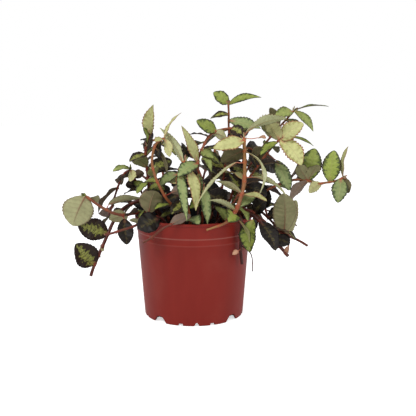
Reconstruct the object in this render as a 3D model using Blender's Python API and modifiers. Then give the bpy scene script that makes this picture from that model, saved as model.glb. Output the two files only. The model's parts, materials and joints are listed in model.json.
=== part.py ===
"""A trailing watermelon pellionia with scalloped leaves, in a 12 cm nursery pot.

The pot stands at z = 0. The plant's places are given as they are seen from eye level in
front of the pot, in millimetres: across, height, and depth behind the pot's axis. seen()
turns such a reading into a point in metres.
"""

import math
import random
from typing import NamedTuple

import bmesh
import bpy
from mathutils import Matrix, Vector
from mathutils.bvhtree import BVHTree

MM = 0.001

# The pot, in millimetres
POT_HEIGHT = 103.0
RIM_RADIUS = 60.0
BASE_RADIUS = 50.8
POT_WALL = 1.2
BEAD_HEIGHT = 2.5
BEAD_DEPTH = 0.8
LEDGE_BELOW_RIM = 15.5
LEDGE_DEPTH = 0.45
FLOOR_HEIGHT = 3.4
FLOOR_THICKNESS = 1.4
FOOT_WIDTH = 2.2
SIDES = 36

# Cuts in the foot: width below, width above, height and inner radius
NOTCH_TURN = 3.0
SLOT = (16.6, 7.0, 6.5, 43.0)
VEE = (5.0, 1.5, 3.3, 45.0)
DENT = (5.0, 4.0, 2.2, 45.0)
DENT_OFFSET = 18.0

# The soil, in millimetres
SOIL_BELOW_RIM = 12.0
SOIL_DOME = 2.5
SOIL_ROUGHNESS = 0.7
GAP = 0.35
ROOT_DEPTH = 9.0
ROOT_RISE = 1.5
HOLE_PLAY = 0.5
HOLE_SIDES = 6

# The view that the plant's places are read in, in millimetres
VIEW_DISTANCE = 720.0
VIEW_HEIGHT = 227.0

# Stems and leaves, in millimetres
STEM_STEP = 18.0
BLADE = 0.7
CLEARANCE = 0.45
WELD = 0.02
SHORT_STALK = 5.0
STALK_WIDTH = 1.6
TOOTH_LENGTH = 12.9
FEWEST_TEETH = 2
MOST_TEETH = 5
DEPTH_SHIFTS = (0, -4, 4, -8, 8, -12, 12, -17, 17, -23, 23)

SEEN_TRIES = ((1, ("stem",)), (1, ("stem", "leaf")), (0.85, ("stem",)), (0.7, ("stem", "leaf")))
HIDDEN_TRIES = ((1, ("stem",)), (0.8, ("stem",)))


class Leaf(NamedTuple):
    """A leaf as seen: base and tip as (x, z, depth), the blade's width, and its roll.

    Roll 0 shows the upper face, 90 turns that face up, and 180 shows the under face. The
    sag is how far the midrib arches, as a part of the length, and the fold lifts the edges.
    """

    base: tuple
    tip: tuple
    width: float
    roll: float
    sag: float = 0.10
    fold: float = 0.15


class Blade(NamedTuple):
    """A leaf in its place: the point where it leaves the stem, base, tip and upper side."""

    root: Vector
    base: Vector
    tip: Vector
    normal: Vector
    width: float
    sag: float
    fold: float


class Stem(NamedTuple):
    """A leafy stem: thickness, (x, y) in the soil, route as seen, leaves and side shoots.

    Each fill is a run of leaves that the view doesn't single out: how many, from and to
    which part of the stem, and how long they are.
    """

    name: str
    thickness: float
    root: tuple
    route: list
    leaves: list
    shoots: tuple = ()
    fills: tuple = ()


STEMS = [
    Stem(
        "left_reach", 3.4, (-36, -4),
        [(-43, 101.5, -6), (-52, 104.5, -10), (-62, 103.5, -14), (-72, 102, -18),
         (-82, 104, -22), (-92, 109, -25), (-101, 115, -27), (-110, 122, -28)],
        [Leaf((-111, 121, -28), (-124, 91, -36), 31, 168, 0.08),
         Leaf((-107, 120, -26), (-99, 114, -14), 13, 150),
         Leaf((-87, 113, -23), (-50, 119, -32), 14, 125, 0.06),
         Leaf((-69, 104, -14), (-86, 97, -12), 16, 160),
         Leaf((-71, 98, -26), (-69, 71, -38), 15, 15)],
        fills=((3, 0.12, 0.45, 28),),
    ),
    Stem(
        "left_drooper", 4.2, (-30, 4),
        [(-40, 112, 3), (-50, 117, 1), (-60, 115.5, -1), (-70, 110, -2), (-77, 103, -4),
         (-83, 94, -6), (-88, 83, -10), (-93, 72, -14), (-98, 61, -18), (-104, 47, -20),
         (-107, 38, -21)],
        [Leaf((-91, 84, -11), (-119, 93, -22), 22, 12, 0.08),
         Leaf((-104, 51, -20), (-122, 72, -28), 24, 22, 0.1, 0.4),
         Leaf((-92, 69, -13), (-94, 64, -20), 4, 150)],
        fills=((4, 0.12, 0.5, 29),),
    ),
    Stem(
        "left_low", 2.8, (-24, -30),
        [(-34, 99, -36), (-47, 98.6, -40), (-60, 91, -46), (-75, 86, -50), (-88, 82, -52),
         (-92, 82, -53)],
        [Leaf((-50, 91, -46), (-66, 97, -51), 8, 140),
         Leaf((-36, 98, -48), (-58, 88, -60), 20, 20),
         Leaf((-46, 104, -43), (-39, 127, -51), 22, 172)],
    ),
    Stem(
        "front_stub", 2.6, (-15, -39),
        [(-16, 97.5, -50), (-17, 95.2, -58), (-24, 92, -64), (-33, 87, -65),
         (-42, 79.5, -62), (-52, 73, -55)],
        [Leaf((-25, 97, -65), (-3, 102, -67), 10, 155)],
    ),
    Stem(
        "left_rise", 2.4, (-40, 10),
        [(-46, 110, 10), (-52, 123, 8), (-56, 132, 5), (-60, 140, 2), (-64, 149, 0)],
        [Leaf((-65, 150, 0), (-82, 147, -7), 9, 60, 0.2),
         Leaf((-64, 148, 0), (-63, 137, -8), 11, 150),
         Leaf((-57, 131, 4), (-69, 134, -4), 10, 175),
         Leaf((-60, 143, 2), (-50, 145, 6), 9, 170),
         Leaf((-58, 138, 3), (-53, 129, -5), 9, 30),
         Leaf((-50, 118, 9), (-24, 130, 18), 17, 25)],
        fills=((4, 0.2, 0.8, 26),),
    ),
    Stem(
        "left_upright", 3.0, (-31, -12),
        [(-38, 105, -11), (-43, 116, -11), (-45.5, 128, -11), (-46.5, 140, -12),
         (-47.5, 152, -12), (-48.5, 165, -12), (-47, 177, -12), (-44, 184, -12)],
        [Leaf((-43, 184, -12), (-40, 214, -17), 12, 25, 0.06, 0.5),
         Leaf((-48, 172, -12), (-50.5, 191, -20), 12, 84),
         Leaf((-49, 164, -11), (-65, 157, -16), 14, 55),
         Leaf((-47, 167, -12), (-42, 182, -22), 8, 160),
         Leaf((-46, 136, -12), (-58, 124, -18), 12, 60),
         Leaf((-44, 122, -8), (-17, 114, 6), 17, 20),
         Leaf((-46, 148, -9), (-22, 158, 4), 15, 30)],
        fills=((7, 0.12, 0.8, 28),),
    ),
    Stem(
        "front_arc", 3.1, (-10, -26),
        [(-13, 103, -34), (-19, 109, -42), (-27, 118, -46), (-34, 130, -48), (-39, 142, -48),
         (-42, 155, -47), (-41, 166, -45), (-38, 174, -44), (-33, 179, -45), (-29, 180, -47)],
        [Leaf((-31, 181, -46), (-39, 177, -53), 8, 50),
         Leaf((-29, 180, -47), (-24, 162, -57), 9, 150),
         Leaf((-34, 178, -46), (-35, 160, -38), 10, 40),
         Leaf((-37, 171, -44), (-27, 142, -34), 9, 120),
         Leaf((-23, 125, -50), (-5, 128, -53), 10, 165),
         Leaf((-30, 181, -47), (-12, 206, -40), 8, 70)],
        fills=((5, 0.15, 0.65, 26),),
    ),
    Stem(
        "front_nodes", 3.2, (-3, -36),
        [(-5, 104, -44), (-8, 118, -47), (-13, 127, -48), (-16.5, 136, -48),
         (-15.5, 145, -47), (-13, 152, -46), (-9, 158, -44)],
        [Leaf((-10, 155, -45), (-34, 191, -53), 10, 140, 0.06),
         Leaf((-11, 148, -48), (-7, 95, -66), 9, 20, 0.08),
         Leaf((-5, 150, -47), (2, 106, -60), 12, 30, 0.08),
         Leaf((-9, 158, -44), (-12, 176, -36), 12, 60),
         Leaf((-12, 124, -42), (-36, 111, -26), 15, 20)],
        fills=((5, 0.15, 0.8, 26),),
    ),
    Stem(
        "centre_front", 3.0, (8, -28),
        [(9, 103, -32), (11, 116, -36), (10, 130, -40), (7, 142, -42), (4, 151, -41),
         (5, 160, -38), (9, 170, -34), (14, 180, -31), (20, 186, -29), (28, 189, -28),
         (39, 190.5, -27)],
        [Leaf((3, 157, -42), (-12, 193, -50), 11, 35, 0.06),
         Leaf((8, 143, -44), (4, 113, -52), 11, 15),
         Leaf((10, 147, -44), (3, 112, -62), 8, 40),
         Leaf((11, 132, -44), (14, 91, -66), 12, 35, 0.08),
         Leaf((23, 187, -29), (3, 198, -36), 13, 25),
         Leaf((13, 184, -30), (-4, 184, -38), 8, 88),
         Leaf((20, 187, -29), (33, 180, -36), 9, 165),
         Leaf((8, 168, -35), (20, 160, -44), 11, 40),
         Leaf((38, 190, -27), (50, 184, -34), 12, 30),
         Leaf((12, 168, -36), (18, 146, -48), 8, 30),
         Leaf((11, 124, -34), (34, 116, -14), 16, 20),
         Leaf((10, 134, -37), (-12, 140, -14), 16, 20)],
        fills=((7, 0.14, 0.75, 26),),
    ),
    Stem(
        "right_arc", 4.3, (29, -35),
        [(37, 100, -40), (42.5, 105, -46), (46, 113, -47), (50, 126, -45), (52, 140, -43),
         (52, 155, -41), (51.5, 170, -39), (51, 181, -38)],
        [Leaf((53, 186, -38), (94, 200, -34), 19, 125, 0.12),
         Leaf((48, 178, -38), (20, 170, -47), 16, 35),
         Leaf((50, 168, -38), (28, 156, -28), 18, 150),
         Leaf((43, 156, -46), (2, 110, -70), 10, 110, 0.06),
         Leaf((48, 124, -46), (22, 137, -54), 9, 130),
         Leaf((56, 168, -42), (66, 121, -58), 12, 65, 0.26),
         Leaf((60, 141, -43), (95, 121, -52), 10, 110, 0.12),
         Leaf((66, 181, -38), (73, 180, -44), 6, 60),
         Leaf((44, 104, -50), (15, 117, -57), 8, 130)],
        fills=((5, 0.12, 0.7, 26),),
        shoots=((2.6, [(42.5, 105, -46), (38, 97, -56), (30, 92, -60.5), (20, 88.5, -62.5),
                       (13, 86, -63)]),),
    ),
    Stem(
        "top_sprig", 2.6, (24, 4),
        [(26, 112, 4), (29, 130, 2), (32, 150, 0), (35, 168, -2), (36, 180, -4),
         (35.5, 192, -5), (35.5, 205, -6), (35, 215, -6)],
        [Leaf((34.5, 216, -6), (20, 226, -9), 13, 25),
         Leaf((36, 214, -6), (68, 221, -14), 9, 50, 0.14),
         Leaf((34, 204, -6), (17, 200, -12), 7, 40, 0.18),
         Leaf((37, 198, -5), (68, 190, -8), 13, 40),
         Leaf((36, 186, -4), (48, 176, -14), 13, 35),
         Leaf((27, 130, 0), (20, 112, -14), 16, 165),
         Leaf((28, 124, 4), (2, 134, 12), 17, 25),
         Leaf((32, 150, 1), (8, 160, 10), 16, 30),
         Leaf((30, 140, 2), (52, 130, 12), 16, 20)],
        fills=((7, 0.12, 0.8, 29),),
    ),
    Stem(
        "right_top", 2.6, (22, -8),
        [(41, 116, 8), (50, 140, 10), (62, 160, 12), (75, 178, 12), (87, 192, 10),
         (97, 203, 8), (101, 208, 7)],
        [Leaf((100, 207, 7), (82, 201, 0), 14, 40),
         Leaf((101, 209, 7), (136, 212, 2), 8, 84, 0.08),
         Leaf((103, 207, 7), (121, 187, -2), 10, 40),
         Leaf((84, 190, 10), (77, 211, 6), 10, 160),
         Leaf((93, 199, 9), (108, 190, 2), 11, 50),
         Leaf((78, 181, 11), (66, 199, 4), 12, 140),
         Leaf((52, 142, 11), (34, 158, 20), 15, 30),
         Leaf((62, 160, 12), (84, 146, 20), 16, 25)],
        fills=((6, 0.15, 0.8, 29),),
    ),
    Stem(
        "right_rosette", 2.6, (31, -18),
        [(40, 112, -18), (49, 128, -18), (58, 142, -19), (68, 156, -20), (77, 168, -20),
         (84, 176, -21), (88, 179, -22)],
        [Leaf((86, 180, -21), (73, 198, -28), 18, 140),
         Leaf((90, 180, -22), (111, 195, -30), 18, 30),
         Leaf((90, 177, -22), (110, 153, -34), 20, 20),
         Leaf((86, 175, -21), (68, 163, -32), 11, 60),
         Leaf((92, 181, -18), (122, 172, -12), 7, 70),
         Leaf((84, 158, -18), (98, 127, -26), 15, 15),
         Leaf((64, 151, -19), (56, 164, -26), 12, 60),
         Leaf((52, 132, -15), (75, 122, -1), 15, 30)],
        fills=((7, 0.12, 0.72, 29),),
    ),
    Stem(
        "right_reach", 2.8, (41, 2),
        [(52, 112, 0), (66, 122, -4), (80, 130, -8), (92, 135, -12), (100, 137.5, -14),
         (108, 138, -15), (117, 137, -16), (126, 134, -17), (136, 135, -18),
         (146, 137, -19), (153, 140, -20)],
        [Leaf((116, 139, -16), (123, 170, -11), 21, 14, 0.08),
         Leaf((117, 138, -17), (107, 153, -31), 12, 170),
         Leaf((118, 139, -18), (127, 153, -30), 12, 170),
         Leaf((139, 136, -18), (143, 168, -16), 18, 12, 0.08),
         Leaf((154, 141, -20), (157, 172, -22), 8, 78),
         Leaf((131, 132, -18), (118, 125, -24), 11, 165),
         Leaf((151, 138, -20), (148, 114, -30), 16, 25),
         Leaf((155, 139, -21), (159, 124, -26), 10, 140),
         Leaf((117, 135, -17), (99, 117, -26), 12, 140)],
        fills=((5, 0.12, 0.6, 29),),
    ),
    Stem(
        "right_low", 3.3, (40, -13),
        [(48, 106, -15), (58, 106, -17), (68, 99, -20), (78, 90, -22), (88, 84.5, -24),
         (98, 79.5, -25), (108, 75, -26), (118, 69, -27)],
        [Leaf((94, 84, -26), (92, 124, -35), 24, 178, 0.06),
         Leaf((98, 81, -23), (105, 117, -19), 18, 165),
         Leaf((92, 84, -25), (98, 69, -30), 8, 20),
         Leaf((62, 103, -18), (74, 118, -26), 14, 30)],
        fills=((4, 0.15, 0.7, 26),),
    ),
    Stem(
        "right_cut", 4.3, (44, -22),
        [(50, 103, -27), (58, 103, -29), (66, 97, -31), (73, 89, -33), (80, 80, -34),
         (87, 71, -35), (93, 64, -36), (98, 58, -37)],
        [Leaf((64, 92, -33), (85, 64, -46), 16, 35),
         Leaf((96, 62, -37), (99, 70, -42), 4, 30),
         Leaf((84, 77, -35), (99, 72, -30), 12, 20)],
    ),
    Stem(
        "front_hanger", 3.8, (37, -27),
        [(42, 99.5, -33), (46.5, 101, -41), (48.8, 95, -46.5), (49, 80, -43.5),
         (48.5, 65, -40.5), (50, 50, -39.5)],
        [Leaf((61, 97, -46), (58, 62.5, -52), 17, 30, 0.08, 0.45),
         Leaf((46, 97, -50), (57, 62, -53), 9, 115, 0.12),
         Leaf((46, 64, -46), (40, 60, -48), 4, 20)],
        shoots=((1.2, [(48, 70, -41), (54, 66, -47), (59, 61, -47), (61, 52, -46),
                       (61, 42, -45)]),),
    ),
    Stem(
        "right_dark", 3.0, (47, 12),
        [(54, 112, 10), (64, 109, 4), (74, 101, 0), (82, 93, -4), (88, 85, -8),
         (92, 76, -12)],
        [Leaf((66, 110, 4), (73, 133, -2), 22, 20),
         Leaf((76, 99, -1), (92, 106, 4), 14, 40),
         Leaf((88, 84, -8), (86, 66, -14), 12, 20),
         Leaf((53, 112, 8), (62, 104, -8), 10, 165)],
        fills=((5, 0.15, 0.8, 27),),
    ),
]

# Stems that the view hides, by rule: how many, how far out they root and reach, how high
BACK_STEMS = 8
BACK_FROM = 20.0
BACK_TO = 160.0
BACK_SEED = 7
BACK_THICKNESS = 2.8
BACK_LEAVES = 6
BACK_LEAF = 30.0

COLOURS = {
    "pot": (0.24, 0.035, 0.026),
    "soil": (0.02, 0.014, 0.01),
    "leafy": (0.16, 0.19, 0.07),
}


def clear_scene():
    for obj in list(bpy.data.objects):
        bpy.data.objects.remove(obj, do_unlink=True)


def new_collection(name):
    collection = bpy.data.collections.new(name)
    bpy.context.scene.collection.children.link(collection)
    return collection


def principled(name, colour, roughness):
    material = bpy.data.materials.new(name)
    material.use_nodes = True
    shader = material.node_tree.nodes["Principled BSDF"]
    shader.inputs["Base Color"].default_value = (*colour, 1)
    shader.inputs["Roughness"].default_value = roughness
    shader.inputs["Metallic"].default_value = 0.0
    return material


def add_mesh(name, points, faces, collection):
    mesh = bpy.data.meshes.new(name)
    mesh.from_pydata(points, [], faces)
    obj = bpy.data.objects.new(name, mesh)
    collection.objects.link(obj)
    return obj


def evaluated_copy(obj, name, collection):
    """A plain mesh object of what the object looks like with its modifiers."""
    bpy.context.view_layer.update()
    graph = bpy.context.evaluated_depsgraph_get()
    mesh = bpy.data.meshes.new_from_object(obj.evaluated_get(graph))
    mesh.name = name
    copy = bpy.data.objects.new(name, mesh)
    copy.matrix_world = obj.matrix_world.copy()
    collection.objects.link(copy)
    return copy


def remove(objects):
    for obj in list(objects):
        bpy.data.objects.remove(obj, do_unlink=True)


def turned(name, profile, collection):
    """A solid turned about Z from (radius, height) points that run down its outer side."""
    points = [(radius * MM, 0, height * MM) for radius, height in profile]
    edges = [(i, i + 1) for i in range(len(points) - 1)]
    mesh = bpy.data.meshes.new(name)
    mesh.from_pydata(points, edges, [])
    obj = bpy.data.objects.new(name, mesh)
    collection.objects.link(obj)
    screw = obj.modifiers.new("turn", "SCREW")
    screw.steps = SIDES
    screw.render_steps = SIDES
    screw.use_merge_vertices = True
    screw.merge_threshold = 0.00001
    return obj


def outer_radius(height):
    """The pot's outer wall at a height: a straight taper with a ledge below the rim."""
    top = RIM_RADIUS - BEAD_DEPTH
    radius = BASE_RADIUS + (top - BASE_RADIUS) * height / POT_HEIGHT
    on_band = height > POT_HEIGHT - LEDGE_BELOW_RIM
    return radius if on_band else radius - LEDGE_DEPTH * height / POT_HEIGHT


def inner_radius(height):
    return outer_radius(height) - POT_WALL


def pot_profile():
    ledge = POT_HEIGHT - LEDGE_BELOW_RIM
    bead = POT_HEIGHT - BEAD_HEIGHT
    floor_top = FLOOR_HEIGHT + FLOOR_THICKNESS
    foot = BASE_RADIUS - FOOT_WIDTH
    return [
        (0, floor_top),
        (inner_radius(floor_top), floor_top),
        (inner_radius(ledge), ledge),
        (inner_radius(ledge + 0.5), ledge + 0.5),
        (inner_radius(POT_HEIGHT), POT_HEIGHT),
        (RIM_RADIUS - 0.4, POT_HEIGHT),
        (RIM_RADIUS, POT_HEIGHT - 0.6),
        (RIM_RADIUS, bead),
        (outer_radius(bead), bead),
        (outer_radius(ledge + 0.5), ledge + 0.5),
        (outer_radius(ledge), ledge),
        (BASE_RADIUS, 0),
        (foot, 0),
        (foot, FLOOR_HEIGHT),
        (0, FLOOR_HEIGHT),
    ]


def foot_cutter(name, angle, shape, collection):
    """A tapered block that cuts one notch up through the foot, at an angle from the front."""
    below, above, height, inner = shape
    outer = BASE_RADIUS + 4
    mesh = bpy.data.meshes.new(name)
    block = bmesh.new()
    bmesh.ops.create_cube(block, size=1)
    for vertex in block.verts:
        top = vertex.co.z > 0
        vertex.co.x *= above if top else below + (below - above) / height
        vertex.co.y = inner if vertex.co.y > 0 else outer
        vertex.co.y *= -1
        vertex.co.z = height if top else -1
    bmesh.ops.recalc_face_normals(block, faces=block.faces)
    bmesh.ops.transform(block, matrix=Matrix.Scale(MM, 4), verts=block.verts)
    block.to_mesh(mesh)
    block.free()
    obj = bpy.data.objects.new(name, mesh)
    obj.rotation_euler.z = math.radians(angle + NOTCH_TURN)
    obj.hide_render = True
    obj.display_type = "WIRE"
    collection.objects.link(obj)


def cut_from(obj, cutters):
    """Cut a whole collection of cutters out of an object."""
    cut = obj.modifiers.new("cuts", "BOOLEAN")
    cut.operand_type = "COLLECTION"
    cut.collection = cutters


def build_pot(parts):
    pot = turned("pot", pot_profile(), parts)
    pot.data.materials.append(principled("pot", COLOURS["pot"], 0.4))
    return pot


def cut_foot(pot, cutters):
    """Notches and drain slots round the pot's foot."""
    for turn in range(0, 360, 90):
        foot_cutter("vee_cut", turn, VEE, cutters)
        foot_cutter("slot_cut", turn + 45, SLOT, cutters)
        foot_cutter("dent_cut", turn - DENT_OFFSET, DENT, cutters)
        foot_cutter("dent_cut", turn + DENT_OFFSET, DENT, cutters)
    cut_from(pot, cutters)


def soil_height(x, y):
    """The soil's surface in millimetres: a low dome with small lumps."""
    away = math.hypot(x, y) / RIM_RADIUS
    lumps = math.sin(x * 0.31 + 1.0) * math.cos(y * 0.27) + math.sin((x + y) * 0.19)
    dome = SOIL_DOME * (1 - away * away)
    return POT_HEIGHT - SOIL_BELOW_RIM - SOIL_DOME / 2 + dome + SOIL_ROUGHNESS * lumps


def build_soil(parts):
    """The soil fills the pot up to a little below its rim."""
    bottom = FLOOR_HEIGHT + FLOOR_THICKNESS + GAP
    top = POT_HEIGHT - SOIL_BELOW_RIM
    edge = inner_radius(top) - GAP
    rings = [(edge * part, top) for part in (0, 0.5, 1)]
    ledge = POT_HEIGHT - LEDGE_BELOW_RIM
    walls = [(inner_radius(ledge) - GAP, ledge), (inner_radius(bottom) - GAP, bottom), (0, bottom)]
    blank = turned("soil_blank", rings + walls, parts)
    soil = evaluated_copy(blank, "soil", parts)
    remove([blank])
    for vertex in soil.data.vertices:
        if vertex.co.z > (top - 0.1) * MM:
            x = vertex.co.x / MM
            y = vertex.co.y / MM
            vertex.co.z = soil_height(x, y) * MM
    soil.data.materials.append(principled("soil", COLOURS["soil"], 0.95))
    return soil


def cut_stem_holes(soil, stems, cutters):
    """A plain hole for each stem."""
    for stem in stems:
        radius = stem.thickness / 2 / math.cos(math.pi / HOLE_SIDES) + HOLE_PLAY
        x, y = stem.root
        low = soil_height(x, y) - ROOT_DEPTH - GAP
        bpy.ops.mesh.primitive_cylinder_add(
            vertices=HOLE_SIDES,
            radius=radius * MM,
            depth=3 * ROOT_DEPTH * MM,
            location=(x * MM, y * MM, (low + 1.5 * ROOT_DEPTH) * MM),
        )
        hole = bpy.context.object
        hole.name = "stem_hole"
        hole.hide_render = True
        hole.display_type = "WIRE"
        for collection in list(hole.users_collection):
            collection.objects.unlink(hole)
        cutters.objects.link(hole)
    cut_from(soil, cutters)


def seen(x, z, depth):
    """The point that the eye-level view shows at (x, z), so far behind the pot's axis."""
    spread = 1 + depth / VIEW_DISTANCE
    height = VIEW_HEIGHT + (z - VIEW_HEIGHT) * spread
    return Vector((x * spread, depth, height)) * MM


def smooth(points, spacing):
    """A Catmull-Rom curve through the points, with a place about every spacing."""
    ends = [points[0] * 2 - points[1]] + points + [points[-1] * 2 - points[-2]]
    path = []
    for a, b, c, d in zip(ends, ends[1:], ends[2:], ends[3:]):
        steps = max(1, round((c - b).length / spacing))
        for step in range(steps):
            t = step / steps
            bend = (2 * a - 5 * b + 4 * c - d) * t * t + (3 * b - a - 3 * c + d) * t ** 3
            path.append((2 * b + (c - a) * t + bend) / 2)
    return path + [points[-1]]


def stem_path(stem):
    """The stem's centre line, straight up out of its hole and then along its route."""
    x, y = stem.root
    ground = soil_height(x, y)
    foot = Vector((x, y, ground - ROOT_DEPTH)) * MM
    collar = Vector((x, y, ground + ROOT_RISE)) * MM
    return [foot] + smooth([collar] + stem.route, STEM_STEP * MM)


def tube(name, path, thickness, collection):
    """A round stem along a path, a little thinner at its far end."""
    curve = bpy.data.curves.new(name, "CURVE")
    curve.dimensions = "3D"
    curve.bevel_depth = thickness / 2 * MM
    curve.bevel_resolution = 0
    curve.use_fill_caps = True
    spline = curve.splines.new("POLY")
    spline.points.add(len(path) - 1)
    for i, place in enumerate(path):
        spline.points[i].co = (*place, 1)
        spline.points[i].radius = 1 - 0.25 * i / (len(path) - 1)
    line = bpy.data.objects.new(name, curve)
    collection.objects.link(line)
    solid = evaluated_copy(line, name, collection)
    remove([line])
    weld(solid.data)
    return solid


def weld(mesh):
    work = bmesh.new()
    work.from_mesh(mesh)
    bmesh.ops.remove_doubles(work, verts=work.verts, dist=WELD * MM)
    bmesh.ops.triangulate(work, faces=work.faces)
    work.to_mesh(mesh)
    work.free()


def nearest_on(path, place):
    """The point of the path nearest to a place."""
    best = None
    for a, b in zip(path, path[1:]):
        run = b - a
        along = max(0.0, min(1.0, (place - a).dot(run) / run.length_squared))
        point = a + run * along
        if best is None or (point - place).length < (best - place).length:
            best = point
    return best


def placed(leaf, path, shift):
    """A leaf row as a blade on its stem, with its tip moved back or forward by the shift."""
    base = seen(*leaf.base)
    x, z, depth = leaf.tip
    tip = seen(x, z, depth + shift)
    axis = (tip - base).normalized()
    toward = Vector((0, -1, 0))
    toward = (toward - axis * toward.dot(axis)).normalized()
    over = axis.cross(toward)
    if over.z + 0.01 * over.x < 0:
        over = -over
    roll = math.radians(leaf.roll)
    normal = toward * math.cos(roll) + over * math.sin(roll)
    return Blade(
        nearest_on(path, base), base, tip, normal, leaf.width * MM, leaf.sag, leaf.fold
    )


def half_width(blade, t):
    """Half the blade's width at a part of its length: rounded on wide leaves, else pointed."""
    length = (blade.tip - blade.base).length
    wide = blade.width > 0.42 * length
    skew, fullness = (1.1, 0.62) if wide else (0.88, 0.9)
    return blade.width / 2 * max(0.0, math.sin(math.pi * t ** skew)) ** fullness


def leaf_sheet(blade, grow):
    """The blade's points and triangles: a midrib, with a scalloped edge to either side."""
    stalk = (blade.base - blade.root).length > SHORT_STALK * MM
    base = blade.base if stalk else blade.root
    axis = (blade.tip - base).normalized()
    length = (blade.tip - base).length
    up = (blade.normal - axis * blade.normal.dot(axis)).normalized()
    side = axis.cross(up)
    teeth = max(FEWEST_TEETH, min(MOST_TEETH, round(length / (TOOTH_LENGTH * MM))))

    def place(t, across):
        rise = 4 * blade.sag * length * t * (1 - t) + blade.fold * abs(across)
        return base + axis * (length * t) + side * across + up * rise

    points = [place(i / teeth, 0) for i in range(teeth + 1)]
    faces = []
    ends = []
    neck = STALK_WIDTH / 2 * MM + grow
    for hand in (1, -1):
        half = []
        corner = 0
        if stalk:
            corner = len(points)
            ends.append(corner + 1)
            points += [place(0, hand * neck), blade.root + side * hand * neck]
            half.append((corner + 1, corner, 0))
        for i in range(teeth):
            tooth = (i + 0.72) / teeth
            reach = half_width(blade, tooth) * 1.06 + grow
            points.append(place(tooth, hand * reach))
            peak = len(points) - 1
            if corner:
                half.append((i, corner, peak))
            half.append((i, peak, i + 1))
            if i < teeth - 1:
                notch = (i + 1) / teeth
                points.append(place(notch, hand * (half_width(blade, notch) * 0.86 + grow)))
                corner = len(points) - 1
                half.append((i + 1, peak, corner))
        faces += half if hand == 1 else [face[::-1] for face in half]
    if stalk:
        faces.append((ends[0], 0, ends[1]))
    return points, faces, up


def slab(points, faces, up, half):
    """The sheet thickened along one direction, as points and triangles."""
    count = len(points)
    both = [p + up * half for p in points] + [p - up * half for p in points]
    solid = list(faces) + [tuple(i + count for i in face[::-1]) for face in faces]
    border = {}
    for face in faces:
        for a, b in zip(face, face[1:] + face[:1]):
            if (b, a) in border:
                del border[(b, a)]
            else:
                border[(a, b)] = True
    for a, b in border:
        solid += [(b, a, a + count), (b, a + count, b + count)]
    return both, solid


class Room:
    """What is placed already, so that each new leaf finds its own clear space."""

    def __init__(self):
        self.pieces = []

    def add_solid(self, owner, kind, obj):
        """Add a mesh object as it looks with its modifiers."""
        bpy.context.view_layer.update()
        mesh = obj.evaluated_get(bpy.context.evaluated_depsgraph_get()).to_mesh()
        mesh.calc_loop_triangles()
        points = [v.co.copy() for v in mesh.vertices]
        self.add(owner, kind, points, [tuple(t.vertices) for t in mesh.loop_triangles])

    def add(self, owner, kind, points, faces):
        tree = BVHTree.FromPolygons(points, faces, all_triangles=True)
        low = Vector([min(p[i] for p in points) for i in range(3)])
        high = Vector([max(p[i] for p in points) for i in range(3)])
        self.pieces.append((owner, kind, tree, low, high))

    def is_clear(self, owner, own_kinds, points, faces):
        """True if the shape crosses nothing but, where that is allowed, its own stem."""
        tree = BVHTree.FromPolygons(points, faces, all_triangles=True)
        low = Vector([min(p[i] for p in points) for i in range(3)])
        high = Vector([max(p[i] for p in points) for i in range(3)])
        for other, kind, piece, its_low, its_high in self.pieces:
            if other == owner and kind in own_kinds:
                continue
            if any(low[i] > its_high[i] or high[i] < its_low[i] for i in range(3)):
                continue
            if tree.overlap(piece):
                return False
        return True


def shrunk(blade, part):
    tip = blade.base + (blade.tip - blade.base) * part
    return blade._replace(tip=tip, width=blade.width * part)


def settle(owner, poses, room, tries):
    """The first of a leaf's poses that is clear of the rest: each try has its size, and
    the kinds of its own stem's pieces that it may cross."""
    for part, own_kinds in tries:
        for pose in poses:
            blade = shrunk(pose, part)
            points, faces, up = leaf_sheet(blade, CLEARANCE * MM)
            wide = slab(points, faces, up, (BLADE / 2 + CLEARANCE) * MM)
            if room.is_clear(owner, own_kinds, *wide):
                points, faces, up = leaf_sheet(blade, 0)
                room.add(owner, "leaf", *slab(points, faces, up, BLADE / 2 * MM))
                return blade
    return None


def filler_poses(path, part, hand, length, rng):
    """Poses of a leaf that the view doesn't single out: to a side, its face up and out."""
    spot = part * (len(path) - 1)
    i = min(int(spot), len(path) - 2)
    root = path[i].lerp(path[i + 1], spot - i)
    along = (path[i + 1] - path[i]).normalized()
    up = Vector((0, 0, 1))
    out = along.cross(up)
    if out.length < 0.3:
        out = Vector((root.x, root.y, 0))
    out = out.normalized() * hand
    outward = Vector((root.x, root.y, 0)).normalized()
    droop = rng.uniform(-0.9, 0.15)
    aim = (out * 0.85 + along * 0.35 + outward * 0.4 + up * droop).normalized()
    width = length * rng.uniform(0.44, 0.58)
    tilt = outward * rng.uniform(0.4, 1.1) + up + out * rng.uniform(-0.3, 0.3)
    poses = []
    for turn in (0, 25, -25, 50, -50, 80, -80, 115, -115, 150, -150, 180):
        swing = Matrix.Rotation(math.radians(turn), 3, along)
        toward = swing @ aim
        base = root + toward * (2.5 * MM)
        tip = root + toward * length
        normal = tilt if abs(toward.z) < 0.85 else outward + up * 0.2
        poses.append(Blade(root, base, tip, normal, width, 0.1, 0.2))
    return poses


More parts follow.
